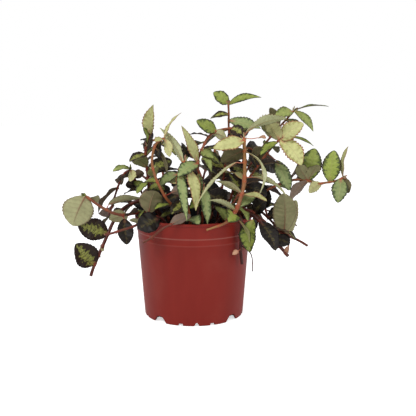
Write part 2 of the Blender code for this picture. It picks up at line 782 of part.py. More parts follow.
def back_stems(rng):
    """The stems on the far side: up out of the pot, out over its rim and down."""
    stems = []
    for i in range(BACK_STEMS):
        part = i / (BACK_STEMS - 1)
        angle = math.radians(BACK_FROM + (BACK_TO - BACK_FROM) * part + rng.uniform(-4, 4))
        way = Vector((math.cos(angle), math.sin(angle), 0))
        low = i % 2
        start = (20 if low else 33) * way
        top = rng.uniform(128, 150) if low else rng.uniform(165, 195)
        reach = rng.uniform(92, 112) if low else rng.uniform(58, 80)
        bow = Vector((-way.y, way.x, 0)) * rng.uniform(-8, 8)
        end = rng.uniform(78, 105) if low else top - rng.uniform(4, 16)
        route = [
            start + way * 3 + Vector((0, 0, 103)),
            start + way * (0.25 * reach) + bow + Vector((0, 0, top - 14)),
            way * (0.78 * reach) + bow * 1.2 + Vector((0, 0, top)),
            way * reach + bow * 0.6 + Vector((0, 0, end)),
        ]
        name = f"back_stem_{i + 1}"
        root = (start.x, start.y)
        fills = ((BACK_LEAVES, 0.25, 1.0, BACK_LEAF),)
        stems.append(Stem(name, BACK_THICKNESS, root, [p * MM for p in route], [], (), fills))
    return stems


def as_routed(stem):
    """The stem with its route and shoots turned from readings into points."""
    shoots = tuple((thick, [seen(*p) for p in route]) for thick, route in stem.shoots)
    return stem._replace(route=[seen(*p) for p in stem.route], shoots=shoots)


def all_stems():
    return [as_routed(stem) for stem in STEMS] + back_stems(random.Random(BACK_SEED))


def grow_stems(stems, room, scratch):
    """Tubes for each stem and its shoots, and the paths that its leaves grow from."""
    tubes = {}
    paths = {}
    for stem in stems:
        path = stem_path(stem)
        lines = [path] + [smooth(route, STEM_STEP * MM) for _, route in stem.shoots]
        thicknesses = [stem.thickness] + [thick for thick, _ in stem.shoots]
        solids = [tube(stem.name, line, t, scratch) for line, t in zip(lines, thicknesses)]
        for solid in solids:
            room.add_solid(stem.name, "stem", solid)
        tubes[stem.name] = solids
        paths[stem.name] = path
    return tubes, paths


def place_leaves(stems, paths, room):
    """Every stem's blades: first those that the view shows, then the hidden ones."""
    blades = {stem.name: [] for stem in stems}
    for stem in stems:
        path = paths[stem.name]
        for leaf in stem.leaves:
            poses = [placed(leaf, path, shift) for shift in DEPTH_SHIFTS]
            blades[stem.name].append(settle(stem.name, poses, room, SEEN_TRIES))
    for number, stem in enumerate(stems):
        rng = random.Random(100 + number)
        path = paths[stem.name]
        for count, start, end, usual in stem.fills:
            for i in range(count):
                part = start + (end - start) * (i + 0.5) / count
                length = usual * rng.uniform(0.8, 1.2) * MM
                poses = filler_poses(path, part, 1 if i % 2 else -1, length, rng)
                blades[stem.name].append(settle(stem.name, poses, room, HIDDEN_TRIES))
    return {name: [blade for blade in row if blade] for name, row in blades.items()}


def solid_leaf(blade, collection):
    points, faces, _ = leaf_sheet(blade, 0)
    sheet = add_mesh("leaf_sheet", points, faces, collection)
    shell = sheet.modifiers.new("thickness", "SOLIDIFY")
    shell.thickness = BLADE * MM
    shell.offset = 0
    solid = evaluated_copy(sheet, "leaf", collection)
    remove([sheet])
    weld(solid.data)
    return solid


def fuse(name, solids, parts):
    """One body of all the solids, by a Boolean union on their collection."""
    first, rest = solids[0], solids[1:]
    joined = new_collection("joining")
    for solid in rest:
        joined.objects.link(solid)
    union = first.modifiers.new("union", "BOOLEAN")
    union.solver = "MANIFOLD"
    union.operation = "UNION"
    union.operand_type = "COLLECTION"
    union.collection = joined
    body = evaluated_copy(first, name, parts)
    remove(solids)
    bpy.data.collections.remove(joined)
    weld(body.data)
    body.data.materials.clear()
    body.data.materials.append(principled(name, COLOURS["leafy"], 0.55))
    return body


def centre_on_ground(parts, helpers):
    """Parent everything to an empty that puts the middle of the whole's base at the origin."""
    bpy.context.view_layer.update()
    graph = bpy.context.evaluated_depsgraph_get()
    corners = []
    for obj in parts.objects:
        solid = obj.evaluated_get(graph)
        corners += [solid.matrix_world @ Vector(corner) for corner in solid.bound_box]
    middle = Vector([
        (min(c[i] for c in corners) + max(c[i] for c in corners)) / 2 for i in range(3)
    ])
    origin = bpy.data.objects.new("plant_origin", None)
    bpy.context.scene.collection.objects.link(origin)
    origin.location = (-middle.x, -middle.y, -min(c.z for c in corners))
    for group in (parts, *helpers):
        for obj in group.objects:
            obj.parent = origin


def main():
    clear_scene()
    parts = new_collection("potted_pellionia")
    scratch = new_collection("scratch")
    notches = new_collection("notch_cutters")
    holes = new_collection("hole_cutters")
    stems = all_stems()
    pot = build_pot(parts)
    soil = build_soil(parts)
    room = Room()
    room.add_solid("pot", "holder", pot)
    room.add_solid("soil", "holder", soil)
    tubes, paths = grow_stems(stems, room, scratch)
    blades = place_leaves(stems, paths, room)
    for stem in stems:
        solids = tubes[stem.name] + [solid_leaf(b, scratch) for b in blades[stem.name]]
        fuse(stem.name, solids, parts)
    bpy.data.collections.remove(scratch)
    cut_foot(pot, notches)
    cut_stem_holes(soil, stems, holes)
    centre_on_ground(parts, (notches, holes))


main()
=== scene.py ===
"""The potted trailing pellionia, dressed: fine leaves, stems, pot and soil on the solids.

The pot's axis stands at POT_AXIS, read from the solids. The plant's places are given as
they are seen from eye level in front of the pot, in millimetres: across, height, and depth
behind the pot's axis. seen() turns such a reading into a point in metres from that axis.
Each leaf takes the pose whose tip lies on its solid.
"""

import json
import math
import random
from typing import NamedTuple

import bmesh
import bpy
from mathutils import Matrix, Vector, kdtree

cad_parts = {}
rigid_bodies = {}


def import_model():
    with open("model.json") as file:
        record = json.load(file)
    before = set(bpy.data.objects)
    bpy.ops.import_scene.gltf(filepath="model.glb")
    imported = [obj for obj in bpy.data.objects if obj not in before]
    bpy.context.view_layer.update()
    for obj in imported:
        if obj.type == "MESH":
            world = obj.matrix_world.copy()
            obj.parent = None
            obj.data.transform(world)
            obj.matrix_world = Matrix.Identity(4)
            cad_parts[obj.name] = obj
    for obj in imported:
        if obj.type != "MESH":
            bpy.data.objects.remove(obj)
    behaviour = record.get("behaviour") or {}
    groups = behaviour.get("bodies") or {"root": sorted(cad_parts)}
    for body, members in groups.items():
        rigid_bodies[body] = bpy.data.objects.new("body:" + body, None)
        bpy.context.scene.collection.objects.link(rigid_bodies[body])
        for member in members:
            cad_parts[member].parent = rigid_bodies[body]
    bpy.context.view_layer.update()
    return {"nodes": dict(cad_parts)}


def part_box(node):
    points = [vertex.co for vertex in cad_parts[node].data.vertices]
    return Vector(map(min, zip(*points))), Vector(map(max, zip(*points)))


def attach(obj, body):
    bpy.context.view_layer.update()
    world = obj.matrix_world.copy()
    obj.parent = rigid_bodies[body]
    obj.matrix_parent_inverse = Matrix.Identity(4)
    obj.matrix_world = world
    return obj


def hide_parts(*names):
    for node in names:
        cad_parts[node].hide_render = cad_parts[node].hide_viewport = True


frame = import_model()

MM = 0.001
POT_LOW, POT_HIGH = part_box("pot")
POT_AXIS = Vector(((POT_LOW.x + POT_HIGH.x) / 2, (POT_LOW.y + POT_HIGH.y) / 2, 0))
UP = Vector((0, 0, 1))

# The pot, in millimetres
POT_HEIGHT = 103.0
RIM_RADIUS = 60.0
BASE_RADIUS = 50.8
POT_WALL = 1.2
BEAD_HEIGHT = 2.5
BEAD_DEPTH = 0.8
LEDGE_BELOW_RIM = 15.5
LINE_BELOW_RIM = 22.0
LEDGE_DEPTH = 0.45
LINE_DEPTH = 0.15
FLOOR_HEIGHT = 3.4
FLOOR_THICKNESS = 1.4
FOOT_WIDTH = 2.2
POT_SIDES = 160

# Cuts in the foot: width below, width above, height and inner radius
NOTCH_TURN = 3.0
SLOT = (16.6, 7.0, 6.5, 43.0)
VEE = (5.0, 1.5, 3.3, 45.0)
DENT = (5.0, 4.0, 2.2, 45.0)
DENT_OFFSET = 18.0

# The soil, in millimetres
SOIL_BELOW_RIM = 12.0
SOIL_DOME = 2.5
SOIL_ROUGHNESS = 0.7
SOIL_SIDES = 120
SOIL_RINGS = 44
GAP = 0.35
ROOT_DEPTH = 9.0
ROOT_RISE = 1.5
CRUMBS = 620
FIBRES = 70

# The view that the plant's places are read in, in millimetres
VIEW_DISTANCE = 720.0
VIEW_HEIGHT = 227.0
VIEW_YAW = math.atan((208 - 193.5) / 712)
VIEW_DIP = 9.3
LENS = 712 / 416 * 36

# Stems and leaves, in millimetres
STEM_STEP = 18.0
FINE_STEP = 1.6
STEM_SIDES = 12
SHORT_STALK = 5.0
BLADE = 0.7
THIN = 0.34
TOOTH = 3.0
ROWS_PER_TOOTH = 4
HALF_COLUMNS = 5
MATCH = 0.6
DEPTH_SHIFTS = (0, -4, 4, -8, 8, -12, 12, -17, 17, -23, 23)
SEEN_SIZES = (1, 0.85, 0.7)
HIDDEN_SIZES = (1, 0.8)
TURNS = (0, 25, -25, 50, -50, 80, -80, 115, -115, 150, -150, 180)

# Each look of a leaf: its age, from pale young to dark old, and how mauve its under face is
LOOKS = {
    "cream": (0.0, 0.05),
    "bud": (0.1, 0.3),
    "young": (0.2, 0.15),
    "silver": (0.32, 0.3),
    "fresh": (0.42, 0.2),
    "mid": (0.6, 0.4),
    "old": (0.82, 0.55),
    "dark": (1.0, 0.8),
    "ash": (0.7, 0.1),
    # This look is the ash look painted darker: painted shade.
    "shaded_ash": (0.72, 0.26),
    "olive": (0.8, 0.42),
    "mauve": (0.7, 0.7),
    "slate": (0.85, 0.95),
}
FRONT_LOOKS = ("dark", "old", "olive", "mid", "shaded_ash", "slate", "old", "fresh", "mauve", "dark")
PALE_LOOKS = ("shaded_ash", "young", "mauve", "silver", "olive", "fresh", "mid")
HIDDEN_LOOKS = ("dark", "dark", "old", "slate", "dark", "olive", "old", "dark", "mid")


class Leaf(NamedTuple):
    """A leaf as seen: look, base and tip as (x, z, depth), the blade's width, and its roll.

    Roll 0 shows the upper face, 90 turns that face up, and 180 shows the under face. The
    sag is how far the midrib arches, as a part of the length, and the fold lifts the edges.
    """

    look: str
    base: tuple
    tip: tuple
    width: float
    roll: float
    sag: float = 0.10
    fold: float = 0.15


class Blade(NamedTuple):
    """A leaf in its place: the point where it leaves the stem, base, tip and upper side."""

    root: Vector
    base: Vector
    tip: Vector
    normal: Vector
    width: float
    sag: float
    fold: float


class Stem(NamedTuple):
    """A leafy stem: thickness, tone from dark red to pink-brown, how it ends, (x, y) in the
    soil, route as seen, leaves and side shoots.

    Each fill is a run of leaves that the view doesn't single out: how many, from and to
    which part of the stem, and how long they are.
    """

    name: str
    thickness: float
    tone: float
    end: str
    root: tuple
    route: list
    leaves: list
    shoots: tuple = ()
    fills: tuple = ()


STEMS = [
    Stem(
        "left_reach", 3.4, 0.4, "bud", (-36, -4),
        [(-43, 101.5, -6), (-52, 104.5, -10), (-62, 103.5, -14), (-72, 102, -18),
         (-82, 104, -22), (-92, 109, -25), (-101, 115, -27), (-110, 122, -28)],
        [Leaf("ash", (-111, 121, -28), (-124, 91, -36), 31, 168, 0.08),
         Leaf("ash", (-107, 120, -26), (-99, 114, -14), 13, 150),
         Leaf("ash", (-87, 113, -23), (-50, 119, -32), 14, 125, 0.06),
         Leaf("ash", (-69, 104, -14), (-86, 97, -12), 16, 160),
         Leaf("dark", (-71, 98, -26), (-69, 71, -38), 15, 15)],
        fills=((3, 0.12, 0.45, 28),),
    ),
    Stem(
        "left_drooper", 4.2, 0.22, "cut", (-30, 4),
        [(-40, 112, 3), (-50, 117, 1), (-60, 115.5, -1), (-70, 110, -2), (-77, 103, -4),
         (-83, 94, -6), (-88, 83, -10), (-93, 72, -14), (-98, 61, -18), (-104, 47, -20),
         (-107, 38, -21)],
        [Leaf("old", (-91, 84, -11), (-119, 93, -22), 22, 12, 0.08),
         Leaf("old", (-104, 51, -20), (-122, 72, -28), 24, 22, 0.1, 0.4),
         Leaf("bud", (-92, 69, -13), (-94, 64, -20), 4, 150)],
        fills=((4, 0.12, 0.5, 29),),
    ),
    Stem(
        "left_low", 2.8, 0.25, "cut", (-24, -30),
        [(-34, 99, -36), (-47, 98.6, -40), (-60, 91, -46), (-75, 86, -50), (-88, 82, -52),
         (-92, 82, -53)],
        [Leaf("ash", (-50, 91, -46), (-66, 97, -51), 8, 140),
         Leaf("dark", (-36, 98, -48), (-58, 88, -60), 20, 20),
         Leaf("olive", (-46, 104, -43), (-39, 127, -51), 22, 172)],
    ),
    Stem(
        "front_stub", 2.6, 0.35, "cut", (-15, -39),
        [(-16, 97.5, -50), (-17, 95.2, -58), (-24, 92, -64), (-33, 87, -65),
         (-42, 79.5, -62), (-52, 73, -55)],
        [Leaf("mauve", (-25, 97, -65), (-3, 102, -67), 10, 155)],
    ),
    Stem(
        "left_rise", 2.4, 0.3, "bud", (-40, 10),
        [(-46, 110, 10), (-52, 123, 8), (-56, 132, 5), (-60, 140, 2), (-64, 149, 0)],
        [Leaf("fresh", (-65, 150, 0), (-82, 147, -7), 9, 60, 0.2),
         Leaf("young", (-64, 148, 0), (-63, 137, -8), 11, 150),
         Leaf("slate", (-57, 131, 4), (-69, 134, -4), 10, 175),
         Leaf("mauve", (-60, 143, 2), (-50, 145, 6), 9, 170),
         Leaf("mid", (-58, 138, 3), (-53, 129, -5), 9, 30),
         Leaf("dark", (-50, 118, 9), (-24, 130, 18), 17, 25)],
        fills=((4, 0.2, 0.8, 26),),
    ),
    Stem(
        "left_upright", 3.0, 0.3, "bud", (-31, -12),
        [(-38, 105, -11), (-43, 116, -11), (-45.5, 128, -11), (-46.5, 140, -12),
         (-47.5, 152, -12), (-48.5, 165, -12), (-47, 177, -12), (-44, 184, -12)],
        [Leaf("young", (-43, 184, -12), (-40, 214, -17), 12, 25, 0.06, 0.5),
         Leaf("mid", (-48, 172, -12), (-50.5, 191, -20), 12, 84),
         Leaf("old", (-49, 164, -11), (-65, 157, -16), 14, 55),
         Leaf("slate", (-47, 167, -12), (-42, 182, -22), 8, 160),
         Leaf("mid", (-46, 136, -12), (-58, 124, -18), 12, 60),
         Leaf("dark", (-44, 122, -8), (-17, 114, 6), 17, 20),
         Leaf("olive", (-46, 148, -9), (-22, 158, 4), 15, 30)],
        fills=((7, 0.12, 0.8, 28),),
    ),
    Stem(
        "front_arc", 3.1, 0.7, "bud", (-10, -26),
        [(-13, 103, -34), (-19, 109, -42), (-27, 118, -46), (-34, 130, -48), (-39, 142, -48),
         (-42, 155, -47), (-41, 166, -45), (-38, 174, -44), (-33, 179, -45), (-29, 180, -47)],
        [Leaf("young", (-31, 181, -46), (-39, 177, -53), 8, 50),
         Leaf("young", (-29, 180, -47), (-24, 162, -57), 9, 150),
         Leaf("dark", (-34, 178, -46), (-35, 160, -38), 10, 40),
         Leaf("olive", (-37, 171, -44), (-27, 142, -34), 9, 120),
         Leaf("mauve", (-23, 125, -50), (-5, 128, -53), 10, 165),
         Leaf("young", (-30, 181, -47), (-12, 206, -40), 8, 70)],
        fills=((5, 0.15, 0.65, 26),),
    ),
    Stem(
        "front_nodes", 3.2, 0.7, "bud", (-3, -36),
        [(-5, 104, -44), (-8, 118, -47), (-13, 127, -48), (-16.5, 136, -48),
         (-15.5, 145, -47), (-13, 152, -46), (-9, 158, -44)],
        [Leaf("cream", (-10, 155, -45), (-34, 191, -53), 10, 140, 0.06),
         Leaf("silver", (-11, 148, -48), (-7, 95, -66), 9, 20, 0.08),
         Leaf("young", (-5, 150, -47), (2, 106, -60), 12, 30, 0.08),
         Leaf("dark", (-9, 158, -44), (-12, 176, -36), 12, 60),
         Leaf("dark", (-12, 124, -42), (-36, 111, -26), 15, 20)],
        fills=((5, 0.15, 0.8, 26),),
    ),
    Stem(
        "centre_front", 3.0, 0.5, "bud", (8, -28),
        [(9, 103, -32), (11, 116, -36), (10, 130, -40), (7, 142, -42), (4, 151, -41),
         (5, 160, -38), (9, 170, -34), (14, 180, -31), (20, 186, -29), (28, 189, -28),
         (39, 190.5, -27)],
        [Leaf("young", (3, 157, -42), (-12, 193, -50), 11, 35, 0.06),
         Leaf("silver", (8, 143, -44), (4, 113, -52), 11, 15),
         Leaf("fresh", (10, 147, -44), (3, 112, -62), 8, 40),
         Leaf("silver", (11, 132, -44), (14, 91, -66), 12, 35, 0.08),
         Leaf("mid", (23, 187, -29), (3, 198, -36), 13, 25),
         Leaf("dark", (13, 184, -30), (-4, 184, -38), 8, 88),
         Leaf("ash", (20, 187, -29), (33, 180, -36), 9, 165),
         Leaf("fresh", (8, 168, -35), (20, 160, -44), 11, 40),
         Leaf("old", (38, 190, -27), (50, 184, -34), 12, 30),
         Leaf("fresh", (12, 168, -36), (18, 146, -48), 8, 30),
         Leaf("dark", (11, 124, -34), (34, 116, -14), 16, 20),
         Leaf("slate", (10, 134, -37), (-12, 140, -14), 16, 20)],
        fills=((7, 0.14, 0.75, 26),),
    ),
    Stem(
        "right_arc", 4.3, 1.0, "bud", (29, -35),
        [(37, 100, -40), (42.5, 105, -46), (46, 113, -47), (50, 126, -45), (52, 140, -43),
         (52, 155, -41), (51.5, 170, -39), (51, 181, -38)],
        [Leaf("cream", (53, 186, -38), (94, 200, -34), 19, 125, 0.12),
         Leaf("young", (48, 178, -38), (20, 170, -47), 16, 35),
         Leaf("olive", (50, 168, -38), (28, 156, -28), 18, 150),
         Leaf("cream", (43, 156, -46), (2, 110, -70), 10, 110, 0.06),
         Leaf("ash", (48, 124, -46), (22, 137, -54), 9, 130),
         Leaf("cream", (56, 168, -42), (66, 121, -58), 12, 65, 0.26),
         Leaf("cream", (60, 141, -43), (95, 121, -52), 10, 110, 0.12),
         Leaf("bud", (66, 181, -38), (73, 180, -44), 6, 60),
         Leaf("cream", (44, 104, -50), (15, 117, -57), 8, 130)],
        fills=((5, 0.12, 0.7, 26),),
        shoots=((2.6, [(42.5, 105, -46), (38, 97, -56), (30, 92, -60.5), (20, 88.5, -62.5),
                       (13, 86, -63)]),),
    ),
    Stem(
        "top_sprig", 2.6, 0.45, "bud", (24, 4),
        [(26, 112, 4), (29, 130, 2), (32, 150, 0), (35, 168, -2), (36, 180, -4),
         (35.5, 192, -5), (35.5, 205, -6), (35, 215, -6)],
        [Leaf("mid", (34.5, 216, -6), (20, 226, -9), 13, 25),
         Leaf("mid", (36, 214, -6), (68, 221, -14), 9, 50, 0.14),
         Leaf("olive", (34, 204, -6), (17, 200, -12), 7, 40, 0.18),
         Leaf("silver", (37, 198, -5), (68, 190, -8), 13, 40),
         Leaf("dark", (36, 186, -4), (48, 176, -14), 13, 35),
         Leaf("slate", (27, 130, 0), (20, 112, -14), 16, 165),
         Leaf("dark", (28, 124, 4), (2, 134, 12), 17, 25),
         Leaf("old", (32, 150, 1), (8, 160, 10), 16, 30),
         Leaf("dark", (30, 140, 2), (52, 130, 12), 16, 20)],
        fills=((7, 0.12, 0.8, 29),),
    ),
    Stem(
        "right_top", 2.6, 0.4, "bud", (22, -8),
        [(41, 116, 8), (50, 140, 10), (62, 160, 12), (75, 178, 12), (87, 192, 10),
         (97, 203, 8), (101, 208, 7)],
        [Leaf("fresh", (100, 207, 7), (82, 201, 0), 14, 40),
         Leaf("mid", (101, 209, 7), (136, 212, 2), 8, 84, 0.08),
         Leaf("fresh", (103, 207, 7), (121, 187, -2), 10, 40),
         Leaf("olive", (84, 190, 10), (77, 211, 6), 10, 160),
         Leaf("silver", (93, 199, 9), (108, 190, 2), 11, 50),
         Leaf("fresh", (78, 181, 11), (66, 199, 4), 12, 140),
         Leaf("old", (52, 142, 11), (34, 158, 20), 15, 30),
         Leaf("dark", (62, 160, 12), (84, 146, 20), 16, 25)],
        fills=((6, 0.15, 0.8, 29),),
    ),
    Stem(
        "right_rosette", 2.6, 0.5, "bud", (31, -18),
        [(40, 112, -18), (49, 128, -18), (58, 142, -19), (68, 156, -20), (77, 168, -20),
         (84, 176, -21), (88, 179, -22)],
        [Leaf("young", (86, 180, -21), (73, 198, -28), 18, 140),
         Leaf("young", (90, 180, -22), (111, 195, -30), 18, 30),
         Leaf("young", (90, 177, -22), (110, 153, -34), 20, 20),
         Leaf("mid", (86, 175, -21), (68, 163, -32), 11, 60),
         Leaf("mid", (92, 181, -18), (122, 172, -12), 7, 70),
         Leaf("silver", (84, 158, -18), (98, 127, -26), 15, 15),
         Leaf("dark", (64, 151, -19), (56, 164, -26), 12, 60),
         Leaf("dark", (52, 132, -15), (75, 122, -1), 15, 30)],
        fills=((7, 0.12, 0.72, 29),),
    ),
    Stem(
        "right_reach", 2.8, 0.65, "bud", (41, 2),
        [(52, 112, 0), (66, 122, -4), (80, 130, -8), (92, 135, -12), (100, 137.5, -14),
         (108, 138, -15), (117, 137, -16), (126, 134, -17), (136, 135, -18),
         (146, 137, -19), (153, 140, -20)],
        [Leaf("mid", (116, 139, -16), (123, 170, -11), 21, 14, 0.08),
         Leaf("shaded_ash", (117, 138, -17), (107, 153, -31), 12, 170),
         Leaf("shaded_ash", (118, 139, -18), (127, 153, -30), 12, 170),
         Leaf("mid", (139, 136, -18), (143, 168, -16), 18, 12, 0.08),
         Leaf("young", (154, 141, -20), (157, 172, -22), 8, 78),
         Leaf("young", (131, 132, -18), (118, 125, -24), 11, 165),
         Leaf("silver", (151, 138, -20), (148, 114, -30), 16, 25),
         Leaf("mid", (155, 139, -21), (159, 124, -26), 10, 140),
         Leaf("mauve", (117, 135, -17), (99, 117, -26), 12, 140)],
        fills=((5, 0.12, 0.6, 29),),
    ),
    Stem(
        "right_low", 3.3, 0.3, "cut", (40, -13),
        [(48, 106, -15), (58, 106, -17), (68, 99, -20), (78, 90, -22), (88, 84.5, -24),
         (98, 79.5, -25), (108, 75, -26), (118, 69, -27)],
        [Leaf("shaded_ash", (94, 84, -26), (92, 124, -35), 24, 178, 0.06),
         Leaf("shaded_ash", (98, 81, -23), (105, 117, -19), 18, 165),
         Leaf("dark", (92, 84, -25), (98, 69, -30), 8, 20),
         Leaf("dark", (62, 103, -18), (74, 118, -26), 14, 30)],
        fills=((4, 0.15, 0.7, 26),),
    ),
    Stem(
        "right_cut", 4.3, 0.12, "cut", (44, -22),
        [(50, 103, -27), (58, 103, -29), (66, 97, -31), (73, 89, -33), (80, 80, -34),
         (87, 71, -35), (93, 64, -36), (98, 58, -37)],
        [Leaf("dark", (64, 92, -33), (85, 64, -46), 16, 35),
         Leaf("bud", (96, 62, -37), (99, 70, -42), 4, 30),
         Leaf("dark", (84, 77, -35), (99, 72, -30), 12, 20)],
    ),
    Stem(
        "front_hanger", 3.8, 0.0, "cut", (37, -27),
        [(42, 99.5, -33), (46.5, 101, -41), (48.8, 95, -46.5), (49, 80, -43.5),
         (48.5, 65, -40.5), (50, 50, -39.5)],
        [Leaf("mid", (61, 97, -46), (58, 62.5, -52), 17, 30, 0.08, 0.45),
         Leaf("silver", (46, 97, -50), (57, 62, -53), 9, 115, 0.12),
         Leaf("bud", (46, 64, -46), (40, 60, -48), 4, 20)],
        shoots=((1.2, [(48, 70, -41), (54, 66, -47), (59, 61, -47), (61, 52, -46),
                       (61, 42, -45)]),),
    ),
    Stem(
        "right_dark", 3.0, 0.2, "cut", (47, 12),
        [(54, 112, 10), (64, 109, 4), (74, 101, 0), (82, 93, -4), (88, 85, -8),
         (92, 76, -12)],
        [Leaf("dark", (66, 110, 4), (73, 133, -2), 22, 20),
         Leaf("dark", (76, 99, -1), (92, 106, 4), 14, 40),
         Leaf("old", (88, 84, -8), (86, 66, -14), 12, 20),
         Leaf("olive", (53, 112, 8), (62, 104, -8), 10, 165)],
        fills=((5, 0.15, 0.8, 27),),
    ),
]

# Stems that the view hides, by rule: how many, how far out they root and reach, how high
BACK_STEMS = 8
BACK_FROM = 20.0
BACK_TO = 160.0
BACK_SEED = 7
BACK_THICKNESS = 2.8
BACK_LEAVES = 6
BACK_LEAF = 30.0

# Width of the painted highlight bands on the pot, in millimetres
HIGHLIGHT_LINE_WIDTH = 1.1

PALE_STEMS = ("front_arc", "front_nodes", "centre_front", "right_arc")
YOUNG_STEMS = ("front_arc", "front_nodes", "centre_front", "right_arc", "top_sprig", "right_top",
               "right_rosette", "left_upright", "right_reach")


def linear(red, green, blue):
    """A colour given as 0 to 255 on screen, in linear light."""
    return tuple(
        (part / 255 / 12.92) if part / 255 <= 0.04045 else ((part / 255 + 0.055) / 1.055) ** 2.4
        for part in (red, green, blue)
    )


class Shading:
    """A material and short ways to add its nodes."""

    def __init__(self, name):
        self.material = bpy.data.materials.new(name)
        self.material.use_nodes = True
        self.tree = self.material.node_tree
        self.shader = self.tree.nodes["Principled BSDF"]

    def put(self, socket, value):
        if isinstance(value, bpy.types.NodeSocket):
            self.tree.links.new(value, socket)
        else:
            socket.default_value = value

    def math(self, operation, first, second=0.0, third=0.0):
        node = self.tree.nodes.new("ShaderNodeMath")
        node.operation = operation
        for socket, value in zip(node.inputs, (first, second, third)):
            self.put(socket, value)
        return node.outputs[0]

    def step(self, value, low, high, top=1.0):
        """0 below low and top above high, with a soft step between."""
        node = self.tree.nodes.new("ShaderNodeMapRange")
        node.interpolation_type = "SMOOTHSTEP"
        for name, part in (("Value", value), ("From Min", low), ("From Max", high),
                           ("To Min", 0.0), ("To Max", top)):
            self.put(node.inputs[name], part)
        return node.outputs[0]

    def blend(self, part, first, second, kind="MIX"):
        node = self.tree.nodes.new("ShaderNodeMix")
        node.data_type = "RGBA"
        node.blend_type = kind
        self.put(node.inputs["Factor"], part)
        for socket, value in ((node.inputs[6], first), (node.inputs[7], second)):
            self.put(socket, (*value, 1) if isinstance(value, tuple) else value)
        return node.outputs[2]

    def ramp(self, value, stops):
        """A colour for each place on a scale, given as (place, (red, green, blue))."""
        node = self.tree.nodes.new("ShaderNodeValToRGB")
        points = node.color_ramp.elements
        while len(points) < len(stops):
            points.new(1.0)
        for point, (place, colour) in zip(points, stops):
            point.position = place
            point.color = (*linear(*colour), 1)
        self.put(node.inputs[0], value)
        return node.outputs[0]

    def attribute(self, name):
        node = self.tree.nodes.new("ShaderNodeAttribute")
        node.attribute_name = name
        apart = self.tree.nodes.new("ShaderNodeSeparateXYZ")
        self.put(apart.inputs[0], node.outputs["Vector"])
        return apart.outputs

    def object_place(self):
        return self.tree.nodes.new("ShaderNodeTexCoord").outputs["Object"]

    def noise(self, scale, detail=2.0, place=None):
        node = self.tree.nodes.new("ShaderNodeTexNoise")
        self.put(node.inputs["Vector"], place or self.object_place())
        node.inputs["Scale"].default_value = scale
        node.inputs["Detail"].default_value = detail
        return node.outputs[0]

    def stretched(self, x, y, z):
        node = self.tree.nodes.new("ShaderNodeMapping")
        self.put(node.inputs["Vector"], self.object_place())
        node.inputs["Scale"].default_value = (x, y, z)
        return node.outputs[0]

    def bump(self, height, distance, strength=1.0):
        node = self.tree.nodes.new("ShaderNodeBump")
        node.inputs["Strength"].default_value = strength
        node.inputs["Distance"].default_value = distance
        self.put(node.inputs["Height"], height)
        self.put(self.shader.inputs["Normal"], node.outputs[0])

    def finish(self, colour, roughness, level=0.5):
        self.put(self.shader.inputs["Base Color"], colour)
        self.put(self.shader.inputs["Roughness"], roughness)
        self.shader.inputs["Specular IOR Level"].default_value = level
        return self.material


def leaf_parts(shade):
    """What both faces of a leaf read: across from the midrib, along, side veins and tone."""
    place = shade.attribute("blade_place")
    tone = shade.attribute("blade_tone")
    bend = shade.math("SUBTRACT", shade.noise(330.0, 2.0), 0.5)
    across = shade.math("ABSOLUTE", shade.math("MULTIPLY_ADD", bend, 0.06, place[0]))
    veins = shade.math("MULTIPLY_ADD", bend, 0.9, place[2])
    wave = shade.math("SINE", shade.math("MULTIPLY", veins, math.tau))
    return across, place[1], wave, tone


def varied(shade, colour, chance, noise):
    """The colour with its leaf's own lightness and a mottled surface."""
    own = shade.math("MULTIPLY_ADD", chance, 0.30, 0.86)
    mottled = shade.math("MULTIPLY_ADD", noise, 0.5, 0.75)
    light = shade.math("MULTIPLY", own, mottled)
    grey = shade.tree.nodes.new("ShaderNodeCombineColor")
    for socket in grey.inputs:
        shade.put(socket, light)
    return shade.blend(1.0, colour, grey.outputs[0], "MULTIPLY")


def blushed(shade, flesh, along, across, age):
    """A pink flush where the blade meets its stalk, strongest on young leaves."""
    near = shade.math("SUBTRACT", 1.0, shade.step(along, 0.02, 0.26))
    slim = shade.math("SUBTRACT", 1.0, shade.step(across, 0.05, 0.6))
    youth = shade.math("SUBTRACT", 0.75, shade.step(age, 0.25, 0.6, 0.55))
    part = shade.math("MULTIPLY", shade.math("MULTIPLY", near, slim), youth)
    return shade.blend(part, flesh, linear(176, 88, 84))


